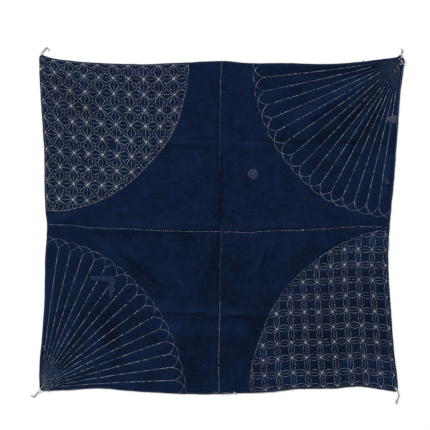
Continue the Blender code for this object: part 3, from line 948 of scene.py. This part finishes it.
def running_stitch_tree():
    """Lines in, stitches out: one bar for each equal step of a line, with a gap before the next."""
    tree = bpy.data.node_groups.new("running stitch", "GeometryNodeTree")
    sockets = tree.interface
    sockets.new_socket("Lines", in_out="INPUT", socket_type="NodeSocketGeometry")
    names = ("Pitch", "Stitch share", "Width", "Height", "Wander", "Missing share", "Dullest", "Brightest")
    for name in names:
        sockets.new_socket(name, in_out="INPUT", socket_type="NodeSocketFloat")
    sockets.new_socket("Seed", in_out="INPUT", socket_type="NodeSocketInt")
    sockets.new_socket("Thread", in_out="INPUT", socket_type="NodeSocketMaterial")
    sockets.new_socket("Stitches", in_out="OUTPUT", socket_type="NodeSocketGeometry")
    given = add(tree, "NodeGroupInput").outputs

    def random_between(low, high, shift, data_type="FLOAT"):
        seed = add(tree, "ShaderNodeMath", {0: given["Seed"], 1: shift}, operation="ADD").outputs[0]
        first, output = {"FLOAT": (2, 1), "FLOAT_VECTOR": (0, 0), "BOOLEAN": (6, 3)}[data_type]
        inputs = {first: low, "Seed": seed}
        if data_type != "BOOLEAN":
            inputs[first + 1] = high
        return add(tree, "FunctionNodeRandomValue", inputs, data_type=data_type).outputs[output]

    curve = add(tree, "GeometryNodeMeshToCurve", {"Mesh": given["Lines"]}).outputs[0]
    steps = add(
        tree,
        "GeometryNodeResampleCurve",
        {"Curve": curve, "Length": given["Pitch"]},
        mode="LENGTH",
        keep_last_segment=True,
    ).outputs[0]
    chain = add(tree, "GeometryNodeCurveToMesh", {"Curve": steps}).outputs[0]
    ends = add(tree, "GeometryNodeInputMeshEdgeVertices").outputs
    run = add(
        tree,
        "ShaderNodeVectorMath",
        {0: ends["Position 2"], 1: ends["Position 1"]},
        operation="SUBTRACT",
    ).outputs[0]
    kept = tree.nodes.new("GeometryNodeCaptureAttribute")
    kept.domain = "EDGE"
    kept.capture_items.new("VECTOR", "run")
    tree.links.new(chain, kept.inputs["Geometry"])
    tree.links.new(run, kept.inputs["run"])
    run = kept.outputs["run"]
    points = add(
        tree, "GeometryNodeMeshToPoints", {"Mesh": kept.outputs["Geometry"]}, mode="EDGES"
    ).outputs[0]
    drift = random_between((-1.0, -1.0, 0.0), (1.0, 1.0, 0.0), 1, "FLOAT_VECTOR")
    drift = add(
        tree, "ShaderNodeVectorMath", {0: drift, "Scale": given["Wander"]}, operation="SCALE"
    ).outputs[0]
    points = add(tree, "GeometryNodeSetPosition", {"Geometry": points, "Offset": drift}).outputs[0]

    bar = add(tree, "GeometryNodeCurvePrimitiveLine", {"Start": (-0.5, 0, 0), "End": (0.5, 0, 0)})
    bar = add(tree, "GeometryNodeResampleCurve", {"Curve": bar.outputs[0], "Count": STITCH_POINTS})
    factor = add(tree, "GeometryNodeSplineParameter").outputs["Factor"]
    bow = add(tree, "ShaderNodeMath", {0: factor, 1: math.pi}, operation="MULTIPLY").outputs[0]
    bow = add(tree, "ShaderNodeMath", {0: bow}, operation="SINE").outputs[0]
    thickness = add(
        tree, "ShaderNodeMapRange", {"Value": bow, "From Max": 0.8, "To Min": 0.45, "To Max": 1.0}
    ).outputs["Result"]
    section = add(
        tree,
        "GeometryNodeCurvePrimitiveCircle",
        {"Resolution": STITCH_SIDES, "Radius": 0.5},
    ).outputs[0]
    stitch = add(
        tree,
        "GeometryNodeCurveToMesh",
        {"Curve": bar.outputs[0], "Profile Curve": section, "Scale": thickness, "Fill Caps": True},
    ).outputs[0]
    along = add(tree, "ShaderNodeSeparateXYZ", {0: add(tree, "GeometryNodeInputPosition").outputs[0]})
    arch = add(tree, "ShaderNodeMath", {0: along.outputs["X"], 1: math.pi}, operation="MULTIPLY").outputs[0]
    arch = add(tree, "ShaderNodeMath", {0: arch}, operation="COSINE").outputs[0]
    arch = add(tree, "ShaderNodeMath", {0: arch, 1: STITCH_ARCH}, operation="MULTIPLY").outputs[0]
    rise = add(tree, "ShaderNodeCombineXYZ", {"Z": arch}).outputs[0]
    stitch = add(tree, "GeometryNodeSetPosition", {"Geometry": stitch, "Offset": rise}).outputs[0]

    stitch_length = add(tree, "ShaderNodeVectorMath", {0: run}, operation="LENGTH").outputs["Value"]
    stitch_length = add(
        tree, "ShaderNodeMath", {0: stitch_length, 1: given["Stitch share"]}, operation="MULTIPLY"
    ).outputs[0]
    stitch_length = add(
        tree, "ShaderNodeMath", {0: stitch_length, 1: random_between(0.84, 1.14, 2)}, operation="MULTIPLY"
    ).outputs[0]
    width = add(
        tree, "ShaderNodeMath", {0: given["Width"], 1: random_between(0.82, 1.18, 3)}, operation="MULTIPLY"
    ).outputs[0]
    size = add(
        tree, "ShaderNodeCombineXYZ", {"X": stitch_length, "Y": width, "Z": given["Height"]}
    ).outputs[0]
    turn = add(tree, "FunctionNodeAlignRotationToVector", {"Vector": run}, axis="X").outputs[0]
    turn = add(
        tree,
        "FunctionNodeAlignRotationToVector",
        {"Rotation": turn, "Vector": (0.0, 0.0, 1.0)},
        axis="Z",
        pivot_axis="X",
    ).outputs[0]
    slant = add(
        tree,
        "FunctionNodeEulerToRotation",
        {"Euler": random_between((0.0, 0.0, -0.08), (0.0, 0.0, 0.08), 4, "FLOAT_VECTOR")},
    ).outputs[0]
    turn = add(
        tree,
        "FunctionNodeRotateRotation",
        {"Rotation": turn, "Rotate By": slant},
        rotation_space="LOCAL",
    ).outputs[0]
    present = add(
        tree,
        "FunctionNodeBooleanMath",
        {0: random_between(given["Missing share"], None, 5, "BOOLEAN")},
        operation="NOT",
    ).outputs[0]
    made = add(
        tree,
        "GeometryNodeInstanceOnPoints",
        {"Points": points, "Selection": present, "Instance": stitch, "Rotation": turn, "Scale": size},
    ).outputs[0]
    made = add(
        tree,
        "GeometryNodeStoreNamedAttribute",
        {"Geometry": made, "Name": "tone", "Value": random_between(given["Dullest"], given["Brightest"], 6)},
        data_type="FLOAT",
        domain="INSTANCE",
    ).outputs[0]
    made = add(tree, "GeometryNodeRealizeInstances", {"Geometry": made}).outputs[0]
    made = add(tree, "GeometryNodeSetShadeSmooth", {"Geometry": made}).outputs[0]
    made = add(tree, "GeometryNodeSetMaterial", {"Geometry": made, "Material": given["Thread"]}).outputs[0]
    add(tree, "NodeGroupOutput", {"Stitches": made})
    return tree


def straight(start, end):
    """Places along a straight marked line, start to end."""
    start = np.array(start, float)
    end = np.array(end, float)
    steps = max(2, math.ceil(np.linalg.norm(end - start) / LINE_STEP) + 1)
    return start + (end - start) * np.linspace(0, 1, steps)[:, None]


def kept_runs(lines, keep):
    """The stretches of these lines where keep is true of their places across and up the cloth."""
    runs = []
    for line in lines:
        good = keep(line[:, 0], line[:, 1])
        breaks = np.flatnonzero(np.diff(good.astype(int))) + 1
        for stretch, flag in zip(np.split(line, breaks), np.split(good, breaks)):
            if flag[0] and len(stretch) > 2:
                runs.append(stretch)
    return runs


def inside_hem(u, v, limit=HEM_STITCH_IN - 0.3):
    """Whether a place is at least this far in from the cloth's edges."""
    edge = np.minimum(np.minimum(u, CLOTH_WIDTH - u), np.minimum(v, CLOTH_HEIGHT - v))
    return edge > limit


sewn_places = []


def sew(name, lines, pitch, share, seed, width=THREAD_WIDTH, drawn=0.6, missing=0.012, tones=(0.3, 1.0)):
    """Sews marked lines with running stitch, as one piece of thread work."""
    places = []
    joins = []
    for line in lines:
        u = line[:, 0] + drawn * waver(line[:, 0], line[:, 1], 26.0, 0.3)
        v = line[:, 1] + drawn * waver(line[:, 0], line[:, 1], 26.0, 50.3)
        x, y = place_of(u, v)
        top, underside = cloth_heights(u, v, x, y)
        z = np.maximum(top - PUCKER_DEPTH - PUCKER_SWELL, underside + LEAST_THICKNESS)
        z += THREAD_HEIGHT * 0.3
        first = len(places)
        places.extend(np.stack([x, y, z], -1).tolist())
        joins.extend((index, index + 1) for index in range(first, len(places) - 1))
    sewn_places.extend(places)
    guide = bpy.data.meshes.new(name)
    guide.from_pydata((np.array(places) * MM).tolist(), joins, [])
    thread = put_in_scene(name, guide)
    modifier = thread.modifiers.new("running stitch", "NODES")
    modifier.node_group = stitch_tree
    values = {
        "Pitch": pitch * MM,
        "Stitch share": share,
        "Width": width * MM,
        "Height": THREAD_HEIGHT * width / THREAD_WIDTH * MM,
        "Wander": STITCH_WANDER * MM,
        "Missing share": missing,
        "Dullest": tones[0],
        "Brightest": tones[1],
        "Seed": seed,
        "Thread": thread_material,
    }
    for socket in stitch_tree.interface.items_tree:
        if socket.name in values:
            modifier[socket.identifier] = values[socket.name]
    evaluated = thread.evaluated_get(bpy.context.evaluated_depsgraph_get())
    made = bpy.data.meshes.new_from_object(evaluated)
    thread.modifiers.clear()
    thread.data = made
    made.name = name
    bpy.data.meshes.remove(guide)
    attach(thread, "root")
    return thread


def hemp_star(column, row):
    """Where a star of the hemp leaf grid is marked, drawn in to the hem line at the edges."""
    u = 28.4 + 27.3 * column + 1.4 * row + 0.08 * column**2 - 0.18 * row**2
    v = 613.1 - 0.46 * column - 30.4 * row
    return np.array((max(u, HEM_STITCH_IN), min(v, CLOTH_HEIGHT - HEM_STITCH_IN)))


def within_rim(across, up, rim):
    """Whether a place is inside a hand-drawn rim. Its distances are shares of the oval's radii."""
    return np.hypot(across, up) < 0.995 * through(rim, np.degrees(np.arctan2(up, across)))


def in_hemp_oval(u, v):
    """Whether a place is inside the hemp leaf's quarter oval, clear of its bare spot."""
    inside = within_rim(u / HEMP_RADII[0], (CLOTH_HEIGHT - v) / HEMP_RADII[1], HEMP_RIM)
    bare = np.hypot(u - HEMP_BARE_SPOT[0], v - HEMP_BARE_SPOT[1]) < HEMP_BARE_RADIUS
    return inside & ~bare & inside_hem(u, v)


def hemp_lines():
    """The grid lines of the hemp leaf, and its leaves and crosses."""
    grid = []
    leaves = []
    crosses = []
    for column in range(-1, HEMP_COLUMNS):
        for row in range(-1, HEMP_ROWS):
            corners = [
                hemp_star(column, row),
                hemp_star(column + 1, row),
                hemp_star(column + 1, row + 1),
                hemp_star(column, row + 1),
            ]
            centre = sum(corners) / 4
            grid.append(straight(corners[0], corners[1]))
            grid.append(straight(corners[0], corners[3]))
            for start, end in zip(corners, corners[1:] + corners[:1]):
                middle = (start + end) / 2
                tip = middle + (centre - middle) * 2 / 3
                leaves.append(straight(start, tip))
                leaves.append(straight(tip, end))
                crosses.append(straight(tip, centre))
    return [kept_runs(lines, in_hemp_oval) for lines in (grid, leaves, crosses)]


def crossings(places):
    """Two short lines across each place, where the threads that meet there pile up."""
    lines = []
    for place in places:
        for slant in (1, -1):
            reach = np.array((CROSSING_REACH, slant * CROSSING_REACH))
            lines.append(straight(place - reach, place + reach))
    return lines


def oval_line(corner_u, corner_v, radii, rim):
    """The marked quarter oval round a corner of the cloth, as unevenly drawn as its rim's rows say."""
    angle = np.linspace(0, math.pi / 2, 400)
    reach = through(rim, np.degrees(angle))
    u = np.abs(corner_u - radii[0] * reach * np.cos(angle))
    v = np.abs(corner_v - radii[1] * reach * np.sin(angle))
    return kept_runs([np.stack([u, v], -1)], inside_hem)


thread_material = cotton_thread()
stitch_tree = running_stitch_tree()
hemp_grid, hemp_leaves, hemp_crosses = hemp_lines()
hemp_stars = [hemp_star(column, row) for column in range(HEMP_COLUMNS) for row in range(HEMP_ROWS)]
hemp_knots = kept_runs(crossings(hemp_stars), in_hemp_oval)
sew("stitches_hemp_leaf_grid", hemp_grid, 3.7, 0.56, 21, tones=(0.4, 0.95))
sew("stitches_hemp_leaf", hemp_leaves, 3.8, 0.92, 22, width=0.46, drawn=0.4, tones=(0.45, 0.95))
sew("stitches_hemp_leaf_crosses", hemp_crosses, 4.4, 0.74, 25, width=0.4, drawn=0.4, tones=(0.2, 0.65))
sew("stitches_hemp_leaf_stars", hemp_knots, 4.4, 0.86, 24, width=0.62, tones=(0.65, 1.0))
hemp_rim = oval_line(0, CLOTH_HEIGHT, HEMP_RADII, HEMP_RIM)
sew("stitches_hemp_leaf_rim", hemp_rim, 3.7, 0.84, 23, tones=(0.35, 1.0))

# Linked ovals motif, bottom right: the same thread and stitch, on a grid of upright and level lines.
# Each grid line has an arc bowed out on either side, so that four lenses meet at each crossing.
LENS_RADII = (280.0, 300.0)
LENS_COLUMNS = 11
LENS_ROWS = 10
LENS_PITCH = (27.45, 30.0)
LENS_FIRST = (675.4, 271.0)
LENS_SKEW = (-0.3, 0.06)
LENS_BOW = (5.6, 6.2)
LENS_OVER_RIM = (647.0, 309.0)
LENS_RIM = (
    (0.0, 1.0), (9.0, 0.999), (14.0, 0.988), (20.0, 0.982), (30.0, 0.987), (44.0, 0.984), (53.0, 0.981),
    (60.0, 0.988), (65.0, 0.993), (77.0, 1.002), (81.0, 1.016), (90.0, 1.023),
)


def lens_crossing(column, row):
    """Where a crossing of the linked ovals is marked, drawn in to the hem line at the edges."""
    u = LENS_FIRST[0] - LENS_PITCH[0] * column
    v = LENS_FIRST[1] - LENS_PITCH[1] * row + column * (LENS_SKEW[0] + LENS_SKEW[1] * row)
    return np.array((min(u, CLOTH_WIDTH - HEM_STITCH_IN), max(v, HEM_STITCH_IN + 0.9)))


def in_lens_oval(u, v):
    """Whether a place is inside the linked ovals' rim, or in the lens that tops it at the hem."""
    inside = within_rim((CLOTH_WIDTH - u) / LENS_RADII[0], v / LENS_RADII[1], LENS_RIM)
    topping = (u > LENS_OVER_RIM[0]) & (v < LENS_OVER_RIM[1])
    return (inside | topping) & inside_hem(u, v)


def lens_lines():
    """The grid lines of the linked ovals, and the arcs on both sides of each."""
    grid = []
    arcs = []
    for column in range(LENS_COLUMNS):
        for row in range(-1, LENS_ROWS):
            start = lens_crossing(column, row)
            for end, bow in (
                (lens_crossing(column + 1, row), np.array((0.0, LENS_BOW[1]))),
                (lens_crossing(column, row + 1), np.array((LENS_BOW[0], 0.0))),
            ):
                line = straight(start, end)
                part = np.linspace(0, 1, len(line))[:, None]
                swing = 4 * part * (1 - part) * bow
                grid.append(line)
                arcs.append(line + swing)
                arcs.append(line - swing)
    return kept_runs(grid, in_lens_oval), kept_runs(arcs, in_lens_oval)


lens_grid, lens_arcs = lens_lines()
lens_knots = [lens_crossing(column, row) for column in range(LENS_COLUMNS) for row in range(LENS_ROWS)]
lens_knots = kept_runs(crossings(lens_knots), in_lens_oval)
lens_rim = oval_line(CLOTH_WIDTH, 0, LENS_RADII, LENS_RIM)
sew("stitches_linked_ovals_grid", lens_grid, 3.9, 0.6, 31, width=0.44, tones=(0.25, 0.78))
sew("stitches_linked_ovals", lens_arcs, 3.7, 0.98, 32, width=0.39, drawn=0.4, tones=(0.35, 0.74))
sew("stitches_linked_ovals_crossings", lens_knots, 4.4, 0.8, 34, width=0.55, tones=(0.7, 1.0))
sew("stitches_linked_ovals_rim", lens_rim, 3.9, 0.84, 33, width=0.46, tones=(0.1, 0.85))

# Petal fan motifs, top right and bottom left: the same thread and stitch.
# Fifteen rays run in from a quarter oval to the corner, where the thread is worn thin.
# Round petals overlap beyond the rays' outer ends.
FAN_RAYS = 15
FAN_TURN = math.radians(90 / (FAN_RAYS + 1))
FAN_SWAY = math.radians(0.5)
FAN_EDGE = 1.6
PETAL_RISE = 19.5
RAY_STOPS = (1.0, 6.0, 3.0, 9.0)
WORN_REACHES = (38.0, 66.0, 46.0, 78.0, 54.0)
Fan = namedtuple("Fan", "name corner radii pinch lean bows meetings covered seed petal_tones end_tones")
FANS = (
    Fan(
        "upper", (CLOTH_WIDTH, CLOTH_HEIGHT), (263.7, 289.8), 0.021, 0.0, (2.6, -1.2),
        ((337.0, 314.6), (341.0, 303.0)), "grey_hem_patch", 41, (0.25, 0.85), (0.0, 0.22),
    ),
    Fan(
        "lower", (0.0, 0.0), (261.3, 275.8), 0.03, math.radians(-0.36), (2.0, 1.2),
        ((-333.0, -310.2), (-342.0, -290.0)), "faded_tear_patch", 44, (0.1, 0.75), (0.0, 0.68),
    ),
)


def fan_end(fan, turns):
    """Where a ray of the fan ends on the cloth, this many ray angles round from level."""
    angle = FAN_TURN * turns
    reach = 1 - fan.pinch * math.sin(2 * angle)
    angle += fan.lean * math.sin(2 * angle) - FAN_SWAY * math.sin(4 * angle)
    inward = (-1 if fan.corner[0] else 1, -1 if fan.corner[1] else 1)
    return np.array((
        fan.corner[0] + inward[0] * fan.radii[0] * reach * math.cos(angle),
        fan.corner[1] + inward[1] * fan.radii[1] * reach * math.sin(angle),
    ))


def cloth_place(x, y):
    """Where on the cloth, as cut, a place on the surface is. Each step closes in on it."""
    u = x + CLOTH_WIDTH / 2
    v = y + CLOTH_HEIGHT / 2
    for _ in range(12):
        now_x, now_y = place_of(u, v)
        u = u + x - now_x
        v = v + y - now_y
    return u, v


def ray(fan, turns):
    """A ray, outer end first: straight as it lies, but for a slight bow."""
    outer = np.array(place_of(*fan_end(fan, turns)))
    share = (turns - 1) / (FAN_RAYS - 1)
    inner = (1 - share) * np.array(fan.meetings[0]) + share * np.array(fan.meetings[1])
    line = straight(outer, inner)
    along = (inner - outer) / np.linalg.norm(inner - outer)
    bow = (1 - share) * fan.bows[0] + share * fan.bows[1]
    swing = bow * np.sin(np.linspace(0, math.pi, len(line)))[:, None]
    line = line + swing * np.array((along[1], -along[0]))
    return np.stack(cloth_place(line[:, 0], line[:, 1]), -1)


def petal(fan, turns):
    """The arc of one petal: it spans two ray angles and bulges away from the corner."""
    start = fan_end(fan, turns - 1)
    end = fan_end(fan, turns + 1)
    middle = (start + end) / 2
    half = np.linalg.norm(end - start) / 2
    along = (end - start) / (2 * half)
    outward = np.array((along[1], -along[0]))
    if outward @ (middle - np.array(fan.corner)) < 0:
        outward = -outward
    radius = (half**2 + PETAL_RISE**2) / (2 * PETAL_RISE)
    reach = math.asin(min(1.0, half / radius))
    swing = np.linspace(-reach, reach, 60)[:, None]
    centre = middle + outward * (PETAL_RISE - radius)
    return centre + radius * (np.sin(swing) * along + np.cos(swing) * outward)


for fan in FANS:
    cover = next(patch.outline for patch in PATCHES if patch.name == fan.covered)

    def clear_of_patch(u, v):
        """Whether a place is inside the cloth's edge and not under the mending patch."""
        x, y = place_of(u, v)
        return inside_hem(u, v, FAN_EDGE) & ~within(cover, x, y)

    rays = []
    worn_ends = []
    for turns in range(1, FAN_RAYS + 1):
        line = ray(fan, turns)
        left = np.linalg.norm(line - line[-1], axis=1)
        reach = WORN_REACHES[turns % len(WORN_REACHES)]
        rays.append(line[left >= reach])
        worn_ends.append(line[(left <= reach) & (left >= RAY_STOPS[turns % len(RAY_STOPS)])])
    petals = [petal(fan, turns) for turns in range(FAN_RAYS + 2)]
    rays = kept_runs(rays, clear_of_patch)
    worn_ends = kept_runs(worn_ends, clear_of_patch)
    petals = kept_runs(petals, clear_of_patch)
    name = f"stitches_{fan.name}_fan"
    sew(f"{name}_rays", rays, 3.8, 0.76, fan.seed, width=0.54, drawn=0.35, missing=0.03, tones=(0.25, 1.0))
    sew(f"{name}_ray_ends", worn_ends, 4.4, 0.94, fan.seed + 1, width=0.42, drawn=0.35, tones=fan.end_tones)
    sew(f"{name}_petals", petals, 3.7, 0.97, fan.seed + 2, width=0.44, drawn=0.35, tones=fan.petal_tones)

# Centre lines and hem line: plain running stitch in the same thread.
# One line runs beside the seam, one across the middle, and one goes round the hem.
UPRIGHT_LINE = (
    (3.5, 341.0), (125.0, 343.8), (178.0, 345.8), (226.0, 347.0), (251.0, 347.5), (284.0, 347.8),
    (323.0, 346.6), (471.0, 339.0), (555.0, 340.1), (600.0, 339.4), (636.5, 339.4),
)
LEVEL_LINE = (
    (3.5, 317.2), (50.0, 319.8), (77.0, 316.3), (119.0, 314.8), (167.0, 317.1), (239.0, 314.6),
    (278.0, 313.7), (344.0, 311.7), (399.0, 311.7), (441.0, 313.1), (497.0, 312.0), (524.0, 313.5),
    (562.0, 314.4), (676.5, 313.9),
)

Stretch = namedtuple("Stretch", "start end missing tones")
UPRIGHT_WEAR = (
    Stretch(0.0, 180.0, 0.01, (0.35, 1.0)),
    Stretch(180.0, 318.0, 0.05, (0.0, 0.35)),
    Stretch(318.0, 430.0, 0.65, (0.0, 0.06)),
    Stretch(430.0, 513.0, 0.1, (0.0, 0.3)),
    Stretch(513.0, 575.0, 0.02, (0.05, 0.5)),
    Stretch(575.0, 640.0, 0.01, (0.5, 1.0)),
)
HEM_LINE_IN = 2.4
BRIGHT_HEM = (505.0, 618.0)


def charted_line(rows):
    """A marked line through a table of places, as its run and its offset."""
    run = np.arange(rows[0][0], rows[-1][0], LINE_STEP)
    return run, through(rows, run)


run, offset = charted_line(UPRIGHT_LINE)
for index, stretch in enumerate(UPRIGHT_WEAR):
    there = (run >= stretch.start) & (run < stretch.end)
    sew(
        f"stitches_upright_line_{index + 1}",
        [np.stack([offset[there], run[there]], -1)],
        4.4,
        0.5,
        51 + index,
        width=0.72,
        missing=stretch.missing,
        tones=stretch.tones,
    )
run, offset = charted_line(LEVEL_LINE)
sew("stitches_level_line", [np.stack([run, offset], -1)], 4.5, 0.46, 56, width=0.68, tones=(0.4, 1.0))
near = HEM_LINE_IN
far_u = CLOTH_WIDTH - HEM_LINE_IN
far_v = CLOTH_HEIGHT - HEM_LINE_IN
hem_lines = [
    straight((near, near), (far_u, near)),
    straight((far_u, near), (far_u, BRIGHT_HEM[0])),
    straight((far_u, BRIGHT_HEM[1]), (far_u, far_v)),
    straight((far_u, far_v), (near, far_v)),
    straight((near, far_v), (near, near)),
]
sew("stitches_hem", hem_lines, 4.4, 0.5, 57, width=0.42, missing=0.15, tones=(0.0, 0.45))
bright_hem = [straight((far_u, BRIGHT_HEM[0]), (far_u, BRIGHT_HEM[1]))]
sew("stitches_hem_bright", bright_hem, 4.4, 0.5, 58, width=0.55, missing=0.05, tones=(0.3, 0.9))

# Small marks: wraps of thread and rolled nubs of hem at the pulled corners, a darn at the right hem,
# a worn darn over the bottom left corner, and thread ends that stand out at the edges.
# Each is a short tube, of the same thread or the same indigo cotton, that lies on the cloth.
Mark = namedtuple("Mark", "name width lift tone places")
THREAD_MARKS = (
    Mark("top right wrap", 1.6, 1.8, 0.85, ((341.0, 311.6), (343.4, 311.0), (344.8, 309.2))),
    Mark("top right wrap, lower", 1.5, 1.8, 0.6, ((340.0, 304.2), (342.4, 305.4), (343.6, 307.4))),
    Mark("top right wrap, edge", 1.2, 0.4, 0.5, ((344.6, 306.8), (347.0, 305.2), (347.2, 302.6))),
    Mark("top left edge thread", 1.8, 0.4, 0.95, ((-342.8, 295.4), (-345.0, 295.8), (-346.8, 294.2))),
    Mark("top right wrap, upper", 1.1, 1.6, 0.6, ((336.4, 313.6), (338.4, 315.8), (341.0, 316.8))),
    Mark("top right sewing", 0.8, 0.6, 0.35, ((333.2, 302.4), (336.4, 299.8), (337.2, 296.6))),
    Mark("top right sewing, lower", 0.7, 0.4, 0.3, ((329.6, 294.6), (331.4, 291.8), (331.8, 288.6))),
    Mark("bottom right wrap", 1.4, 1.6, 0.9, ((330.6, -309.6), (333.0, -312.0), (333.6, -315.2))),
    Mark("top left stitch at the edge", 0.7, 0.2, 0.3, ((-342.4, 316.2), (-340.0, 313.4), (-337.4, 310.0))),
    Mark("top edge thread end", 1.2, -0.6, 0.6, ((268.4, 310.4), (269.6, 312.0), (270.6, 314.0))),
    Mark("bottom edge thread end", 1.5, 0.0, 0.75, ((23.4, -318.4), (25.0, -320.0), (27.0, -320.4))),
    Mark("bottom edge loose thread", 0.6, 0.0, 0.3, ((-15.6, -318.2), (-11.0, -319.4), (-6.0, -318.6))),
    Mark("bottom edge loose thread, right", 0.6, 0.0, 0.3, ((3.6, -319.0), (8.6, -319.8), (14.0, -319.2))),
    Mark("left edge loop", 0.8, 0.1, 0.6, ((-339.2, -231.4), (-337.6, -232.6), (-337.2, -235.0))),
    Mark("right hem darn", 0.5, 0.1, 0.12, ((310.6, 87.6), (317.0, 84.0), (311.8, 82.2), (320.4, 79.2))),
    Mark("right hem darn, below", 0.5, 0.1, 0.12, ((312.6, 78.4), (318.6, 81.2), (315.4, 76.6))),
)
DARN_ROWS = 10
CLOTH_MARKS = (
    Mark("top right nub above the edge", 3.6, -1.0, 0.0, ((334.4, 317.4), (338.0, 319.6), (341.2, 322.6))),
    Mark("top right nub beside the tie", 3.4, -1.0, 0.0, ((344.0, 317.6), (346.2, 314.4), (346.4, 310.6))),
)


def marks_mesh(name, marks, attribute_name):
    """Round tubes along these marks' places, on top of the cloth or beside it on the surface."""
    shape = bmesh.new()
    tones = []
    for mark in marks:
        x, y = np.array(mark.places, float).T
        u, v = cloth_place(x, y)
        top, underside = cloth_heights(u, v, x, y)
        base = np.where(inside_hem(u, v, 0.0), top + mark.lift, 0.0)
        centres = [Vector((*row, 1.0)) for row in np.stack([x, y, base + mark.width / 2], -1).tolist()]
        centres = [point.xyz for point in smooth_route(centres, 0.8)]
        radii = [mark.width / 2] * len(centres)
        radii[0] *= 0.6
        radii[-1] *= 0.6
        for centre in centres:
            centre.z = max(centre.z, mark.width / 2)
        add_tube(shape, centres, radii, 8)
        tones += [mark.tone] * (len(shape.verts) - len(tones))
    bmesh.ops.recalc_face_normals(shape, faces=shape.faces)
    mesh = bpy.data.meshes.new(name)
    shape.to_mesh(mesh)
    shape.free()
    mesh.shade_smooth()
    mesh.attributes.new(attribute_name, "FLOAT", "POINT").data.foreach_set("value", tones)
    return mesh


corner_darn = tuple(
    Mark("bottom left darn", 0.65, 0.0, 0.3, (
        (-343.2 + 0.3 * row, -286.4 - 2.9 * row),
        (-338.6 + 0.6 * row, -288.6 - 2.9 * row),
        (-334.0 + 0.9 * row, -287.6 - 2.9 * row),
    ))
    for row in range(DARN_ROWS)
)
for name, marks, attribute_name, material, slot in (
    ("thread_wraps_and_ends", THREAD_MARKS + corner_darn, "tone", thread_material, "cotton_string"),
    ("rolled_hem_nubs", CLOTH_MARKS, "wear_and_painted_shade", indigo, "indigo_cotton"),
):
    piece = put_in_scene(name, marks_mesh(name, marks, attribute_name))
    piece.data.materials.append(material)
    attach(piece, "root")

# Puckers: every stitch draws the cloth down a little, and it swells between the lines.
pucker_tree = kdtree.KDTree(len(sewn_places))
for index, place in enumerate(sewn_places):
    pucker_tree.insert(Vector((place[0], place[1], 0)), index)
pucker_tree.balance()
for panel in panels.values():
    vertices = list(panel.data.vertices)
    half = len(vertices) // 2
    for upper, lower in zip(vertices[:half], vertices[half:]):
        away = pucker_tree.find(Vector((upper.co.x / MM, upper.co.y / MM, 0)))[2]
        drop = PUCKER_DEPTH * math.exp(-((away / PUCKER_WIDTH) ** 2))
        drop += PUCKER_SWELL * math.exp(-((away / PUCKER_SWELL_WIDTH) ** 2))
        upper.co.z = max(upper.co.z - drop * MM, lower.co.z + LEAST_THICKNESS * MM)

# Plain pale floor, lit softly from the upper left, so that each fold and hem keeps a faint shade.
FLOOR_SIZE = 6.0
bpy.ops.mesh.primitive_plane_add(size=FLOOR_SIZE, location=(0, 0, -0.0004))
floor = bpy.context.object
floor.name = "floor"
paper, paper_tree, paper_shader = new_material("matt white paper", 1.0, 0.0, 0.0)
paper_shader.inputs["Base Color"].default_value = to_linear("#F4F4F4")
floor.data.materials.append(paper)

sun_data = bpy.data.lights.new("soft window", "SUN")
sun_data.energy = 4.5
sun_data.angle = math.radians(32)
sun = bpy.data.objects.new("soft window", sun_data)
sun.rotation_euler = Vector((0.85, -1.1, -0.85)).to_track_quat("-Z", "Y").to_euler()
bpy.context.scene.collection.objects.link(sun)
world = bpy.data.worlds.new("studio")
world.use_nodes = True
world.node_tree.nodes["Background"].inputs["Color"].default_value = (1.0, 1.0, 1.0, 1.0)
world.node_tree.nodes["Background"].inputs["Strength"].default_value = 0.37
bpy.context.scene.world = world
bpy.context.scene.view_settings.view_transform = "Standard"
